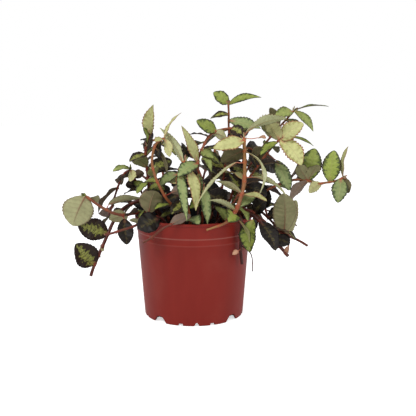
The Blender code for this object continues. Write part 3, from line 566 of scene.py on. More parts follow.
def leaf_upper():
    """Pale along the midrib with a jagged edge, darker towards the margin, by age."""
    shade = Shading("leaf_upper")
    across, along, wave, tone = leaf_parts(shade)
    age, _, chance = tone
    fine = shade.noise(1300.0, 3.0)
    coarse = shade.noise(260.0, 2.0)
    centre = shade.ramp(age, (
        (0.0, (200, 202, 158)), (0.1, (176, 132, 108)), (0.2, (184, 184, 126)),
        (0.32, (134, 146, 94)), (0.42, (144, 154, 88)), (0.6, (138, 150, 70)),
        (0.82, (148, 152, 76)), (1.0, (78, 72, 40)),
    ))
    margin = shade.ramp(age, (
        (0.0, (182, 188, 138)), (0.1, (150, 92, 72)), (0.2, (160, 156, 98)),
        (0.32, (78, 92, 58)), (0.42, (106, 120, 64)), (0.6, (74, 84, 40)),
        (0.82, (44, 29, 26)), (1.0, (28, 20, 20)),
    ))
    edge = shade.ramp(age, (
        (0.0, (160, 138, 96)), (0.2, (142, 90, 68)), (0.32, (56, 52, 36)), (0.42, (88, 74, 44)),
        (0.6, (48, 40, 26)), (0.82, (32, 21, 20)), (1.0, (24, 17, 18)),
    ))
    reach = shade.ramp(age, (
        (0.0, (232, 232, 232)), (0.3, (224, 224, 224)), (0.6, (222, 222, 222)),
        (0.82, (168, 168, 168)), (1.0, (112, 112, 112)),
    ))
    jag = shade.math("MULTIPLY_ADD", wave, 0.13, reach)
    rough_edge = shade.math("MULTIPLY_ADD", shade.math("SUBTRACT", fine, 0.5), 0.8, jag)
    blotch = shade.math("MULTIPLY_ADD", shade.math("SUBTRACT", coarse, 0.5), 1.2, rough_edge)
    taper = shade.math("MULTIPLY_ADD", shade.math("POWER", along, 3.0), -0.25, blotch)
    inside = shade.step(shade.math("SUBTRACT", taper, across), -0.07, 0.10)
    flesh = shade.blend(inside, margin, centre)
    streak = shade.math("MULTIPLY", shade.step(wave, 0.45, 0.95, 0.6), shade.step(age, 0.5, 0.8))
    flesh = shade.blend(streak, flesh, margin)
    fleck = shade.math("MULTIPLY", shade.step(fine, 0.56, 0.66, 0.7), shade.step(age, 0.55, 0.8))
    flesh = shade.blend(fleck, flesh, margin)
    quilt = shade.math("MULTIPLY_ADD", wave, -0.04, 0.04)
    flesh = shade.blend(quilt, flesh, linear(60, 76, 34))
    outer = shade.step(across, 0.2, 0.9, 0.55)
    mottle = shade.math("MULTIPLY", shade.step(shade.noise(620.0, 3.0), 0.50, 0.62), outer)
    middle_age = shade.math("MULTIPLY", shade.step(age, 0.1, 0.45), shade.math("SUBTRACT", 1.0, shade.step(age, 0.65, 0.8)))
    flesh = shade.blend(shade.math("MULTIPLY", mottle, middle_age), flesh, linear(84, 98, 46))
    rim = shade.step(shade.math("MULTIPLY_ADD", fine, 0.2, across), 0.88, 1.0, 0.9)
    flesh = shade.blend(rim, flesh, edge)
    rib = shade.math("SUBTRACT", 1.0, shade.step(across, 0.01, 0.06))
    ribbed = shade.ramp(age, ((0.0, (186, 160, 124)), (0.5, (150, 150, 94)), (1.0, (78, 56, 40))))
    flesh = shade.blend(shade.math("MULTIPLY", rib, 0.5), flesh, ribbed)
    flesh = blushed(shade, flesh, along, across, age)
    height = shade.math("MULTIPLY_ADD", wave, -0.5, fine)
    shade.bump(height, 0.00022, 0.55)
    return shade.finish(
        varied(shade, flesh, chance, coarse), shade.math("MULTIPLY_ADD", fine, 0.25, 0.36), 0.2
    )


def leaf_under():
    """Grey-green to mauve, with a pink midrib and faint side veins."""
    shade = Shading("leaf_under")
    across, along, wave, tone = leaf_parts(shade)
    age, mauve, chance = tone
    fine = shade.noise(1100.0, 3.0)
    coarse = shade.noise(240.0, 2.0)
    flesh = shade.ramp(mauve, (
        (0.0, (172, 172, 130)), (0.2, (146, 144, 104)), (0.45, (104, 98, 70)),
        (0.7, (128, 110, 96)), (0.95, (84, 74, 70)), (1.0, (74, 66, 64)),
    ))
    green = shade.ramp(age, ((0.0, (196, 200, 154)), (0.2, (178, 176, 124)), (0.42, (134, 144, 82))))
    youth = shade.math("SUBTRACT", 1.0, shade.step(age, 0.3, 0.5))
    flesh = shade.blend(youth, flesh, green)
    veins = shade.step(wave, 0.90, 1.0, 0.3)
    flesh = shade.blend(veins, flesh, linear(134, 104, 88))
    rim = shade.step(shade.math("MULTIPLY_ADD", fine, 0.1, across), 0.90, 1.0, 0.6)
    flesh = shade.blend(rim, flesh, linear(116, 92, 76))
    rib = shade.math("SUBTRACT", 1.0, shade.step(across, 0.02, 0.10))
    near = shade.math("MULTIPLY_ADD", along, -0.5, 0.5)
    flesh = shade.blend(shade.math("MULTIPLY", rib, near), flesh, linear(160, 92, 80))
    flesh = blushed(shade, flesh, along, across, age)
    shade.bump(shade.math("MULTIPLY_ADD", wave, 0.25, fine), 0.00016, 0.5)
    return shade.finish(
        varied(shade, flesh, chance, coarse), shade.math("MULTIPLY_ADD", fine, 0.2, 0.5), 0.16
    )


def leaf_stalk():
    """A pink-red stalk that pales along the midrib under the blade."""
    shade = Shading("leaf_stalk")
    place = shade.attribute("blade_place")
    tone = shade.attribute("blade_tone")
    fine = shade.noise(900.0, 2.0)
    fresh = shade.ramp(
        place[1], ((0.0, (172, 92, 72)), (0.3, (184, 120, 96)), (0.5, (178, 168, 118)), (1.0, (184, 184, 132)))
    )
    older = shade.ramp(
        place[1], ((0.0, (128, 46, 40)), (0.28, (156, 76, 66)), (0.5, (140, 116, 88)), (1.0, (140, 136, 100)))
    )
    colour = shade.blend(shade.step(tone[0], 0.3, 0.6), fresh, older)
    shade.bump(fine, 0.0001, 0.4)
    return shade.finish(varied(shade, colour, tone[2], fine), 0.5, 0.2)


def stem_skin():
    """Red-brown to orange-brown, darker towards the foot as painted shade, redder at the joints, with fine
    lengthwise streaks.
    """
    shade = Shading("stem_skin")
    place = shade.attribute("blade_place")
    tone = shade.attribute("blade_tone")
    fine = shade.noise(700.0, 3.0)
    patches = shade.noise(90.0, 2.0)
    # Painted shade: the low colours are darker, and the stem takes them towards its foot, where it runs inside
    # the shaded foliage.
    low = shade.ramp(tone[0], (
        (0.0, (42, 14, 13)), (0.15, (58, 20, 18)), (0.3, (76, 28, 23)), (0.5, (116, 52, 35)),
        (0.7, (152, 78, 48)), (1.0, (158, 92, 74)),
    ))
    high = shade.ramp(tone[0], (
        (0.0, (62, 27, 23)), (0.15, (78, 34, 28)), (0.3, (98, 46, 34)), (0.5, (124, 72, 45)),
        (0.7, (144, 94, 54)), (1.0, (152, 108, 62)),
    ))
    colour = shade.blend(shade.step(place[1], 0.15, 0.85), low, high)
    lit = shade.math("MULTIPLY", place[2], shade.math("MULTIPLY_ADD", tone[0], 0.5, 0.12))
    joint = shade.blend(lit, colour, linear(184, 74, 44))
    green = shade.math("MULTIPLY", shade.step(patches, 0.52, 0.75, 0.4), tone[0])
    colour = shade.blend(green, joint, linear(132, 108, 58))
    ring = shade.math("SINE", shade.math("MULTIPLY", place[0], math.tau * 5))
    shade.bump(shade.math("MULTIPLY_ADD", ring, 0.35, fine), 0.00014, 0.5)
    return shade.finish(varied(shade, colour, tone[2], fine), 0.42, 0.3)


def stem_cut():
    """The pale, dry end of a cut stem."""
    shade = Shading("stem_cut")
    fine = shade.noise(1600.0, 3.0)
    colour = shade.ramp(fine, ((0.3, (120, 92, 58)), (0.7, (176, 150, 104))))
    shade.bump(fine, 0.0002, 0.8)
    return shade.finish(colour, 0.8, 0.3)


def pot_outside():
    """Semi-gloss red-brown plastic with faint flow lines and a little dust, with pale bands of painted
    highlight along the ledge and the faint line below it.
    """
    shade = Shading("pot_outside")
    flow = shade.noise(1.0, 3.0, shade.stretched(60.0, 60.0, 9.0))
    grain = shade.noise(1500.0, 2.0)
    dust = shade.noise(26.0, 4.0)
    colour = shade.ramp(flow, ((0.3, (120, 30, 22)), (0.7, (130, 35, 26))))
    colour = shade.blend(shade.step(dust, 0.5, 0.8, 0.06), colour, linear(168, 108, 90))
    height = shade.tree.nodes.new("ShaderNodeSeparateXYZ")
    shade.put(height.inputs[0], shade.object_place())
    # Painted highlight: pale bands along the ledge and the faint line below it stand in for light caught on
    # their edges.
    for line, strength in ((POT_HEIGHT - LEDGE_BELOW_RIM + 0.2, 0.24), (POT_HEIGHT - LINE_BELOW_RIM, 0.06)):
        away = shade.math("ABSOLUTE", shade.math("SUBTRACT", height.outputs[2], line * MM))
        painted_highlight = shade.math("SUBTRACT", strength, shade.step(away, 0.0, HIGHLIGHT_LINE_WIDTH * MM, strength))
        colour = shade.blend(painted_highlight, colour, linear(214, 150, 136))
    shade.bump(shade.math("MULTIPLY_ADD", flow, 2.5, grain), 0.00006, 0.35)
    rough = shade.math("MULTIPLY_ADD", dust, 0.22, 0.30)
    return shade.finish(colour, rough, 0.22)


def pot_inside():
    """Near-black plastic with dried splashes."""
    shade = Shading("pot_inside")
    dust = shade.noise(60.0, 4.0)
    colour = shade.ramp(dust, ((0.35, (26, 27, 34)), (0.75, (60, 60, 68))))
    shade.bump(shade.noise(1200.0, 2.0), 0.00008, 0.4)
    return shade.finish(colour, 0.36, 0.4)


def soil_matter():
    """Dark, damp peat with paler flecks."""
    shade = Shading("soil_matter")
    fine = shade.noise(900.0, 5.0)
    lumps = shade.noise(210.0, 4.0)
    colour = shade.ramp(lumps, ((0.3, (22, 16, 13)), (0.55, (44, 32, 24)), (0.8, (72, 52, 38))))
    colour = shade.blend(shade.step(fine, 0.68, 0.78, 0.5), colour, linear(120, 96, 70))
    shade.bump(shade.math("ADD", fine, lumps), 0.0007, 0.9)
    return shade.finish(colour, 0.92, 0.25)


def stage_floor():
    """White to the camera, and a mid grey to the light that it throws back."""
    shade = Shading("stage_floor")
    fine = shade.noise(3.0, 2.0)
    colour = shade.ramp(fine, ((0.2, (248, 248, 248)), (0.8, (252, 252, 252))))
    shade.shader.inputs["Emission Color"].default_value = (1, 1, 1, 1)
    shade.shader.inputs["Emission Strength"].default_value = FLOOR_GLOW
    dull = shade.tree.nodes.new("ShaderNodeBsdfDiffuse")
    dull.inputs["Color"].default_value = (FLOOR_BOUNCE, FLOOR_BOUNCE, FLOOR_BOUNCE, 1)
    rays = shade.tree.nodes.new("ShaderNodeLightPath")
    pick = shade.tree.nodes.new("ShaderNodeMixShader")
    shade.put(pick.inputs[0], rays.outputs["Is Camera Ray"])
    shade.put(pick.inputs[1], dull.outputs[0])
    shade.put(pick.inputs[2], shade.shader.outputs[0])
    shade.put(shade.tree.nodes["Material Output"].inputs["Surface"], pick.outputs[0])
    return shade.finish(colour, 0.9, 0.1)


class Work:
    """One piece while it is made: points, faces, each face's material, and what they read."""

    def __init__(self):
        self.points = []
        self.faces = []
        self.kinds = []
        self.places = []
        self.tones = []

    def add(self, points, faces, kind, places, tone):
        """Faces count from the first of these points. The kind is one number for all these faces."""
        first = len(self.points)
        self.points += points
        self.faces += [tuple(i + first for i in face) for face in faces]
        self.kinds += [kind] * len(faces)
        self.places += places
        self.tones += [tone] * len(points)
        return first

    def build(self, name, materials):
        mesh = bpy.data.meshes.new(name)
        mesh.from_pydata([p + POT_AXIS for p in self.points], [], self.faces)
        for material in materials:
            mesh.materials.append(material)
        mesh.polygons.foreach_set("material_index", self.kinds)
        mesh.polygons.foreach_set("use_smooth", [True] * len(self.faces))
        for title, rows in (("blade_place", self.places), ("blade_tone", self.tones)):
            held = mesh.attributes.new(title, "FLOAT_VECTOR", "POINT")
            held.data.foreach_set("vector", [part for row in rows for part in row])
        mesh.update()
        obj = bpy.data.objects.new(name, mesh)
        bpy.context.scene.collection.objects.link(obj)
        return obj


UPPER, UNDER, STALK, SKIN, CUT = range(5)


def soil_height(x, y):
    """The soil's surface in millimetres: a low dome with small lumps."""
    away = math.hypot(x, y) / RIM_RADIUS
    lumps = math.sin(x * 0.31 + 1.0) * math.cos(y * 0.27) + math.sin((x + y) * 0.19)
    dome = SOIL_DOME * (1 - away * away)
    return POT_HEIGHT - SOIL_BELOW_RIM - SOIL_DOME / 2 + dome + SOIL_ROUGHNESS * lumps


def seen(x, z, depth):
    """The point that the eye-level view shows at (x, z), so far behind the pot's axis."""
    spread = 1 + depth / VIEW_DISTANCE
    height = VIEW_HEIGHT + (z - VIEW_HEIGHT) * spread
    return Vector((x * spread, depth, height)) * MM


def smooth(points, spacing):
    """A Catmull-Rom curve through the points, with a place about every spacing."""
    ends = [points[0] * 2 - points[1]] + points + [points[-1] * 2 - points[-2]]
    path = []
    for a, b, c, d in zip(ends, ends[1:], ends[2:], ends[3:]):
        steps = max(1, round((c - b).length / spacing))
        for step in range(steps):
            t = step / steps
            bend = (2 * a - 5 * b + 4 * c - d) * t * t + (3 * b - a - 3 * c + d) * t ** 3
            path.append((2 * b + (c - a) * t + bend) / 2)
    return path + [points[-1]]


def stem_path(stem, spacing):
    """The stem's centre line, straight up out of its hole and then along its route."""
    x, y = stem.root
    ground = soil_height(x, y)
    foot = Vector((x, y, ground - ROOT_DEPTH)) * MM
    collar = Vector((x, y, ground + ROOT_RISE)) * MM
    return [foot] + smooth([collar] + stem.route, spacing * MM)


def nearest_on(path, place):
    """The point of the path nearest to a place, and how far along the path it is."""
    best = None
    where = 0.0
    for i, (a, b) in enumerate(zip(path, path[1:])):
        run = b - a
        along = max(0.0, min(1.0, (place - a).dot(run) / run.length_squared))
        point = a + run * along
        if best is None or (point - place).length < (best - place).length:
            best = point
            where = i + along
    return best, where


def placed(leaf, path, shift):
    """A leaf row as a blade on its stem, with its tip moved back or forward by the shift."""
    base = seen(*leaf.base)
    x, z, depth = leaf.tip
    tip = seen(x, z, depth + shift)
    axis = (tip - base).normalized()
    toward = Vector((0, -1, 0))
    toward = (toward - axis * toward.dot(axis)).normalized()
    over = axis.cross(toward)
    if over.z + 0.01 * over.x < 0:
        over = -over
    roll = math.radians(leaf.roll)
    normal = toward * math.cos(roll) + over * math.sin(roll)
    root, _ = nearest_on(path, base)
    return Blade(root, base, tip, normal, leaf.width * MM, leaf.sag, leaf.fold)


def filler_poses(path, part, hand, length, rng):
    """Poses of a leaf that the view doesn't single out: to a side, its face up and out."""
    spot = part * (len(path) - 1)
    i = min(int(spot), len(path) - 2)
    root = path[i].lerp(path[i + 1], spot - i)
    along = (path[i + 1] - path[i]).normalized()
    out = along.cross(UP)
    if out.length < 0.3:
        out = Vector((root.x, root.y, 0))
    out = out.normalized() * hand
    outward = Vector((root.x, root.y, 0)).normalized()
    droop = rng.uniform(-0.9, 0.15)
    aim = (out * 0.85 + along * 0.35 + outward * 0.4 + UP * droop).normalized()
    width = length * rng.uniform(0.44, 0.58)
    tilt = outward * rng.uniform(0.4, 1.1) + UP + out * rng.uniform(-0.3, 0.3)
    poses = []
    for turn in TURNS:
        toward = Matrix.Rotation(math.radians(turn), 3, along) @ aim
        base = root + toward * (2.5 * MM)
        tip = root + toward * length
        normal = tilt if abs(toward.z) < 0.85 else outward + UP * 0.2
        poses.append(Blade(root, base, tip, normal, width, 0.1, 0.2))
    return poses


def back_stems(rng):
    """The stems on the far side: up out of the pot, out over its rim and down."""
    stems = []
    for i in range(BACK_STEMS):
        part = i / (BACK_STEMS - 1)
        angle = math.radians(BACK_FROM + (BACK_TO - BACK_FROM) * part + rng.uniform(-4, 4))
        way = Vector((math.cos(angle), math.sin(angle), 0))
        low = i % 2
        start = (20 if low else 33) * way
        top = rng.uniform(128, 150) if low else rng.uniform(165, 195)
        reach = rng.uniform(92, 112) if low else rng.uniform(58, 80)
        bow = Vector((-way.y, way.x, 0)) * rng.uniform(-8, 8)
        end = rng.uniform(78, 105) if low else top - rng.uniform(4, 16)
        route = [
            start + way * 3 + Vector((0, 0, 103)),
            start + way * (0.25 * reach) + bow + Vector((0, 0, top - 14)),
            way * (0.78 * reach) + bow * 1.2 + Vector((0, 0, top)),
            way * reach + bow * 0.6 + Vector((0, 0, end)),
        ]
        name = f"back_stem_{i + 1}"
        tone = 0.25 if low else 0.5
        fills = ((BACK_LEAVES, 0.25, 1.0, BACK_LEAF),)
        route = [p * MM for p in route]
        root = (start.x, start.y)
        stems.append(Stem(name, BACK_THICKNESS, tone, "bud", root, route, [], (), fills))
    return stems


def all_stems():
    """Every stem, with its route and shoots turned from readings into points."""
    stems = []
    for stem in STEMS:
        shoots = tuple((thick, [seen(*p) for p in route]) for thick, route in stem.shoots)
        stems.append(stem._replace(route=[seen(*p) for p in stem.route], shoots=shoots))
    return stems + back_stems(random.Random(BACK_SEED))


def shrunk(blade, part):
    tip = blade.base + (blade.tip - blade.base) * part
    return blade._replace(tip=tip, width=blade.width * part)


def sheet_axes(blade):
    """Where the sheet starts, if it has a stalk, and its directions and length."""
    stalk = (blade.base - blade.root).length > SHORT_STALK * MM
    base = blade.base if stalk else blade.root
    axis = (blade.tip - base).normalized()
    up = (blade.normal - axis * blade.normal.dot(axis)).normalized()
    return base, axis, up, axis.cross(up), (blade.tip - base).length, stalk


def on_solid(solid, poses, sizes):
    """The pose that the solid has, found by its tip, or None if the solid has none of them."""
    best = None
    least = MATCH * MM
    for size in sizes:
        for pose in poses:
            blade = shrunk(pose, size)
            up = sheet_axes(blade)[2]
            off = sum(
                solid.find(blade.tip + up * (half * MM) + POT_AXIS)[2] / 2
                for half in (BLADE / 2, -BLADE / 2)
            )
            if off < least:
                best = blade
                least = off
    return best


def solid_points(name):
    """A search tree of a CAD node's corners."""
    corners = frame["nodes"][name].data.vertices
    tree = kdtree.KDTree(len(corners))
    for i, corner in enumerate(corners):
        tree.insert(corner.co, i)
    tree.balance()
    return tree


def stem_leaves(number, stem):
    """The stem's blades as its solid has them, each with its look."""
    solid = solid_points(stem.name)
    path = stem_path(stem, STEM_STEP)
    blades = []
    for leaf in stem.leaves:
        poses = [placed(leaf, path, shift) for shift in DEPTH_SHIFTS]
        blades.append((on_solid(solid, poses, SEEN_SIZES), leaf.look))
    rng = random.Random(100 + number)
    pick = random.Random(500 + number)
    for count, start, end, usual in stem.fills:
        for i in range(count):
            part = start + (end - start) * (i + 0.5) / count
            length = usual * rng.uniform(0.8, 1.2) * MM
            poses = filler_poses(path, part, 1 if i % 2 else -1, length, rng)
            looks = HIDDEN_LOOKS
            if stem.name in PALE_STEMS:
                looks = PALE_LOOKS
            elif stem.name in YOUNG_STEMS:
                looks = FRONT_LOOKS
            blades.append((on_solid(solid, poses, HIDDEN_SIZES), pick.choice(looks)))
    return blades


def half_width(blade, t):
    """Half the blade's width at a part of its length: rounded on wide leaves, else pointed."""
    length = (blade.tip - blade.base).length
    wide = blade.width > 0.42 * length
    skew, fullness = (1.1, 0.62) if wide else (0.88, 0.9)
    return blade.width / 2 * max(0.0, math.sin(math.pi * t ** skew)) ** fullness


def tooth_shape(phase, age):
    """How far a tooth stands out: pointed forward when young, a round scallop when old."""
    sharp = phase / 0.75 if phase < 0.76 else (1 - phase) / 0.25
    round_ = math.sin(math.pi * phase) ** 0.5 if 0 < phase < 1 else 0
    return sharp + (round_ - sharp) * min(1.0, age * 0.8)


def fine_leaf(work, blade, look, rng):
    """A thin blade with a toothed edge, a sunken midrib and raised panels between its veins,
    on a round stalk that runs on under it as the midrib."""
    age, mauve = LOOKS[look]
    tone = (age, mauve, rng.random())
    base, axis, up, side, length, stalk = sheet_axes(blade)
    teeth = max(3, round(length / (TOOTH * MM)))
    rows = teeth * ROWS_PER_TOOTH
    phase = rng.uniform(0, math.tau)
    waves = rng.uniform(1.2, 2.4)
    ruffle = rng.uniform(0.03, 0.08) * blade.width
    panel = 0.008 * blade.width
    bow = rng.uniform(-0.045, 0.045) * length
    twist = rng.uniform(-0.25, 0.25)
    bite = 0.05 + 0.19 * (1 - age) ** 2
    ovate = 0.05 + 0.09 * (1 - age)
    lean = rng.uniform(-0.6, 0.6)
    vein_rows = max(4.0, length / (4.4 * MM))
    drift = rng.uniform(-0.3, 0.3)

    def vein(t, u):
        return vein_rows * t - 0.85 * abs(u) ** 0.8 + drift

    def place(t, u):
        hand = 1 if u > 0 else -1
        skewed = max(0.0, min(1.0, t + hand * 0.02 * math.sin(math.pi * t)))
        tooth = tooth_shape((t * teeth) % 1.0, age)
        reach = half_width(blade, skewed) * (1.0 - bite * (1 - tooth) * abs(u) ** 4)
        reach *= 1 + ovate * math.cos(math.pi * t)
        reach += (0.5 * (1 - t) + 0.35 * math.sin(math.pi * t) + 0.06) * MM
        across = reach * u
        arch = math.sin(math.pi * t)
        rise = 4 * blade.sag * length * t * (1 - t) + blade.fold * (1 + lean * hand) * abs(across)
        rise += ruffle * u * u * arch * math.sin(math.tau * waves * t + phase + 2 * hand)
        rise += twist * across * (t - 0.4)
        rise -= panel * math.cos(math.tau * vein(t, u)) * min(1, 3 * abs(u)) * arch
        if u == 0:
            rise -= 0.022 * blade.width * arch
        return base + axis * (length * t) + side * (across + bow * arch) + up * rise

    columns = range(-HALF_COLUMNS, HALF_COLUMNS + 1)
    wide = len(columns)
    middle = []
    places = []
    for row in range(rows + 1):
        for column in columns:
            u = column / HALF_COLUMNS
            middle.append(place(row / rows, u))
            places.append((u, row / rows, vein(row / rows, u)))
    half = THIN / 2 * MM
    faces = []
    for row in range(rows):
        for column in range(wide - 1):
            a = row * wide + column
            faces.append((a, a + wide, a + wide + 1, a + 1))
    flip = side.cross(axis).dot(up) < 0
    top = [face[::-1] for face in faces] if not flip else faces
    under = faces if not flip else [face[::-1] for face in faces]
    first = work.add([p + up * half for p in middle], top, UPPER, places, tone)
    lower = work.add([p - up * half for p in middle], under, UNDER, places, tone)
    ring = [row * wide for row in range(rows + 1)]
    ring += [rows * wide + column for column in range(1, wide)]
    ring += [row * wide + wide - 1 for row in range(rows - 1, -1, -1)]
    ring += list(range(wide - 2, 0, -1))
    for a, b in zip(ring, ring[1:] + ring[:1]):
        face = (first + a, first + b, lower + b, lower + a)
        work.faces.append(face if not flip else face[::-1])
        work.kinds.append(UPPER)
    rib(work, blade, place, up, stalk, tone)


def rib(work, blade, place, up, stalk, tone):
    """The stalk from the stem to the blade, and the raised midrib under it."""
    thick = min(0.52, 0.26 + 0.012 * blade.width / MM)
    start = [blade.root]
    if stalk:
        mid = blade.root.lerp(blade.base, 0.5) - UP * (0.06 * (blade.base - blade.root).length)
        start = smooth([blade.root, mid, blade.base], 1.5 * MM)[:-1]
    length = (blade.tip - blade.base).length
    steps = max(5, round(length / (3 * MM)))
    slim = [thick * (1 - 0.85 * (i / steps) ** 0.8) for i in range(steps + 1)]
    under = [place(0.92 * i / steps, 0) - up * ((THIN + slim[i]) / 2 * MM) for i in range(steps + 1)]
    path = start + under if stalk else under
    lead = len(path) - len(under)
    sizes = [thick * 1.3] * lead + slim
    values = [(0.0, 0.25 * i / max(1, lead), 0.0) for i in range(lead)]
    values += [(0.0, 0.3 + 0.7 * i / steps, 0.0) for i in range(steps + 1)]
    round_tube(work, path, sizes, 6, STALK, values, tone)


def rings(path):
    """Two directions across the path at each of its points, turning as little as it can."""
    frames = []
    last = None
    for i, point in enumerate(path):
        along = (path[min(i + 1, len(path) - 1)] - path[max(i - 1, 0)]).normalized()
        if last is None:
            last = along.orthogonal().normalized()
        across = (last - along * last.dot(along)).normalized()
        frames.append((across, along.cross(across)))
        last = across
    return frames


def round_tube(work, path, sizes, sides, kind, values, tone, end_kind=None):
    """A tube of these radii in millimetres, closed at both ends."""
    points = []
    places = []
    for point, size, value, (a, b) in zip(path, sizes, values, rings(path)):
        for i in range(sides):
            turn = math.tau * i / sides
            points.append(point + (a * math.cos(turn) + b * math.sin(turn)) * (size * MM))
            places.append((i / sides, value[1], value[2]))
    faces = []
    for row in range(len(path) - 1):
        for i in range(sides):
            j = (i + 1) % sides
            here = row * sides
            faces.append((here + i, here + j, here + sides + j, here + sides + i))
    faces.append(tuple(range(sides))[::-1])
    first = work.add(points, faces, kind, places, tone)
    last = first + (len(path) - 1) * sides
    work.faces.append(tuple(last + i for i in range(sides)))
    work.kinds.append(kind if end_kind is None else end_kind)


def fine_stem(work, path, thickness, joints, tone, end):
    """A round stem, thinner towards its end, with a swelling at each joint."""
    rng = random.Random(round(path[0].x * 1e6))
    lengths = [0.0]
    for a, b in zip(path, path[1:]):
        lengths.append(lengths[-1] + (b - a).length / MM)
    marks = [joint_length(path, lengths, place) for place in joints]
    spot = rng.uniform(8, 16)
    while spot < lengths[-1] - 4:
        if all(abs(spot - mark) > 9 for mark in marks):
            marks.append(spot)
        spot += rng.uniform(13, 19)
    sizes = []
    values = []
    for here in lengths:
        part = here / lengths[-1]
        near = max(math.exp(-((here - mark) / 1.5) ** 2) for mark in marks) if marks else 0
        wobble = 0.03 * math.sin(here * 0.5) + 0.02 * math.sin(here * 1.3 + 2)
        slim = 0.98 * (1 - 0.22 * part)
        sizes.append(thickness / 2 * slim * (1 + 0.2 * near + wobble))
        values.append((0, part, near))
    if end == "bud":
        sizes[-1] *= 0.55
    round_tube(work, path, sizes, STEM_SIDES, SKIN, values, tone, CUT if end == "cut" else None)
    return marks, lengths


def joint_length(path, lengths, place):
    _, where = nearest_on(path, place)
    i = min(int(where), len(path) - 2)
    return lengths[i] + (lengths[i + 1] - lengths[i]) * (where - i)


def point_at(path, lengths, here):
    for i in range(len(path) - 1):
        if lengths[i + 1] >= here:
            part = (here - lengths[i]) / (lengths[i + 1] - lengths[i])
            return path[i].lerp(path[i + 1], part), (path[i + 1] - path[i]).normalized()
    return path[-1], (path[-1] - path[-2]).normalized()


def scale_leaf(work, root, way, length, width, look, fold, rng):
    """A small leaf or scale: a narrow blade without teeth, three points across."""
    age, mauve = LOOKS[look]
    tone = (age, mauve, rng.random())
    side = way.orthogonal().normalized()
    side = Matrix.Rotation(rng.uniform(0, math.tau), 3, way) @ side
    up = side.cross(way)
    points = []
    places = []
    rows = 7
    for row in range(rows + 1):
        t = row / rows
        half = width / 2 * math.sin(math.pi * (0.06 + 0.92 * t)) ** 0.8 * MM
        for u in (-1, 0, 1):
            rise = (fold * half * abs(u) + 0.35 * length * MM * t * t * 0.3)
            points.append(root + way * (length * t * MM) + side * (half * u) + up * rise)
            places.append((0.8 * u, t, 3 * t))
    faces = []
    for row in range(rows):
        for column in range(2):
            a = row * 3 + column
            faces.append((a, a + 1, a + 4, a + 3))
    thin = up * (0.09 * MM)
    first = work.add([p + thin for p in points], faces, UPPER, places, tone)
    lower = work.add([p - thin for p in points], [f[::-1] for f in faces], UNDER, places, tone)
    ring = [row * 3 for row in range(rows + 1)] + [rows * 3 + 1]
    ring += [row * 3 + 2 for row in range(rows, -1, -1)] + [1]
    for a, b in zip(ring, ring[1:] + ring[:1]):
        work.faces.append((first + b, first + a, lower + a, lower + b))
        work.kinds.append(UPPER)


def small_parts(work, path, marks, lengths, stem, rng):
    """Scales at the joints, and the folded leaves of a growing tip."""
    for mark in marks:
        spot, along = point_at(path, lengths, mark)
        if mark < 18:
            continue
        for _ in range(2):
            out = Matrix.Rotation(rng.uniform(0, math.tau), 3, along) @ along.orthogonal().normalized()
            way = (out * 0.8 + along * 0.7).normalized()
            look = "bud" if stem.tone > 0.35 else "slate"
            start = spot + out * (stem.thickness * 0.3 * MM)
            scale_leaf(work, start, way, rng.uniform(1.8, 3.2), rng.uniform(0.7, 1.1), look, 0.3, rng)
    if stem.end == "bud":
        along = (path[-1] - path[-3]).normalized()
        look = "bud" if stem.name in YOUNG_STEMS else "mid"
        for i in range(4):
            turn = Matrix.Rotation(math.tau * i / 4 + rng.uniform(-0.4, 0.4), 3, along)
            out = turn @ along.orthogonal().normalized()
            way = (along + out * rng.uniform(0.2, 0.6)).normalized()
            scale_leaf(work, path[-1] - along * MM, way, rng.uniform(3.5, 7.0),
                       rng.uniform(1.6, 2.6), look, 0.5, rng)


def dress_stem(number, stem, materials):
    """One piece for a stem's solid: the stem, its shoots, leaves, scales and tip."""
    work = Work()
    rng = random.Random(900 + number)
    path = stem_path(stem, FINE_STEP)
    blades = [(blade, look) for blade, look in stem_leaves(number, stem) if blade]
    roots = [blade.root for blade, _ in blades]
    tone = (stem.tone, 0.0, rng.random())
    marks, lengths = fine_stem(work, path, stem.thickness, roots, tone, stem.end)
    small_parts(work, path, marks, lengths, stem, rng)
    for thick, route in stem.shoots:
        line = smooth(route, FINE_STEP * MM)
        fine_stem(work, line, thick, [], tone, "cut")
    for blade, look in blades:
        root, _ = nearest_on(path, blade.root)
        fine_leaf(work, blade._replace(root=root), look, rng)
    piece = work.build(f"{stem.name}_foliage", materials)
    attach(piece, "root")
    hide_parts(stem.name)
    return len(blades), len(stem.leaves) + sum(fill[0] for fill in stem.fills)


def outer_radius(height):
    """The pot's outer wall at a height: a straight taper with a ledge below the rim."""
    top = RIM_RADIUS - BEAD_DEPTH
    radius = BASE_RADIUS + (top - BASE_RADIUS) * height / POT_HEIGHT
    on_band = height > POT_HEIGHT - LEDGE_BELOW_RIM
    return radius if on_band else radius - LEDGE_DEPTH * height / POT_HEIGHT


def inner_radius(height):
    return outer_radius(height) - POT_WALL


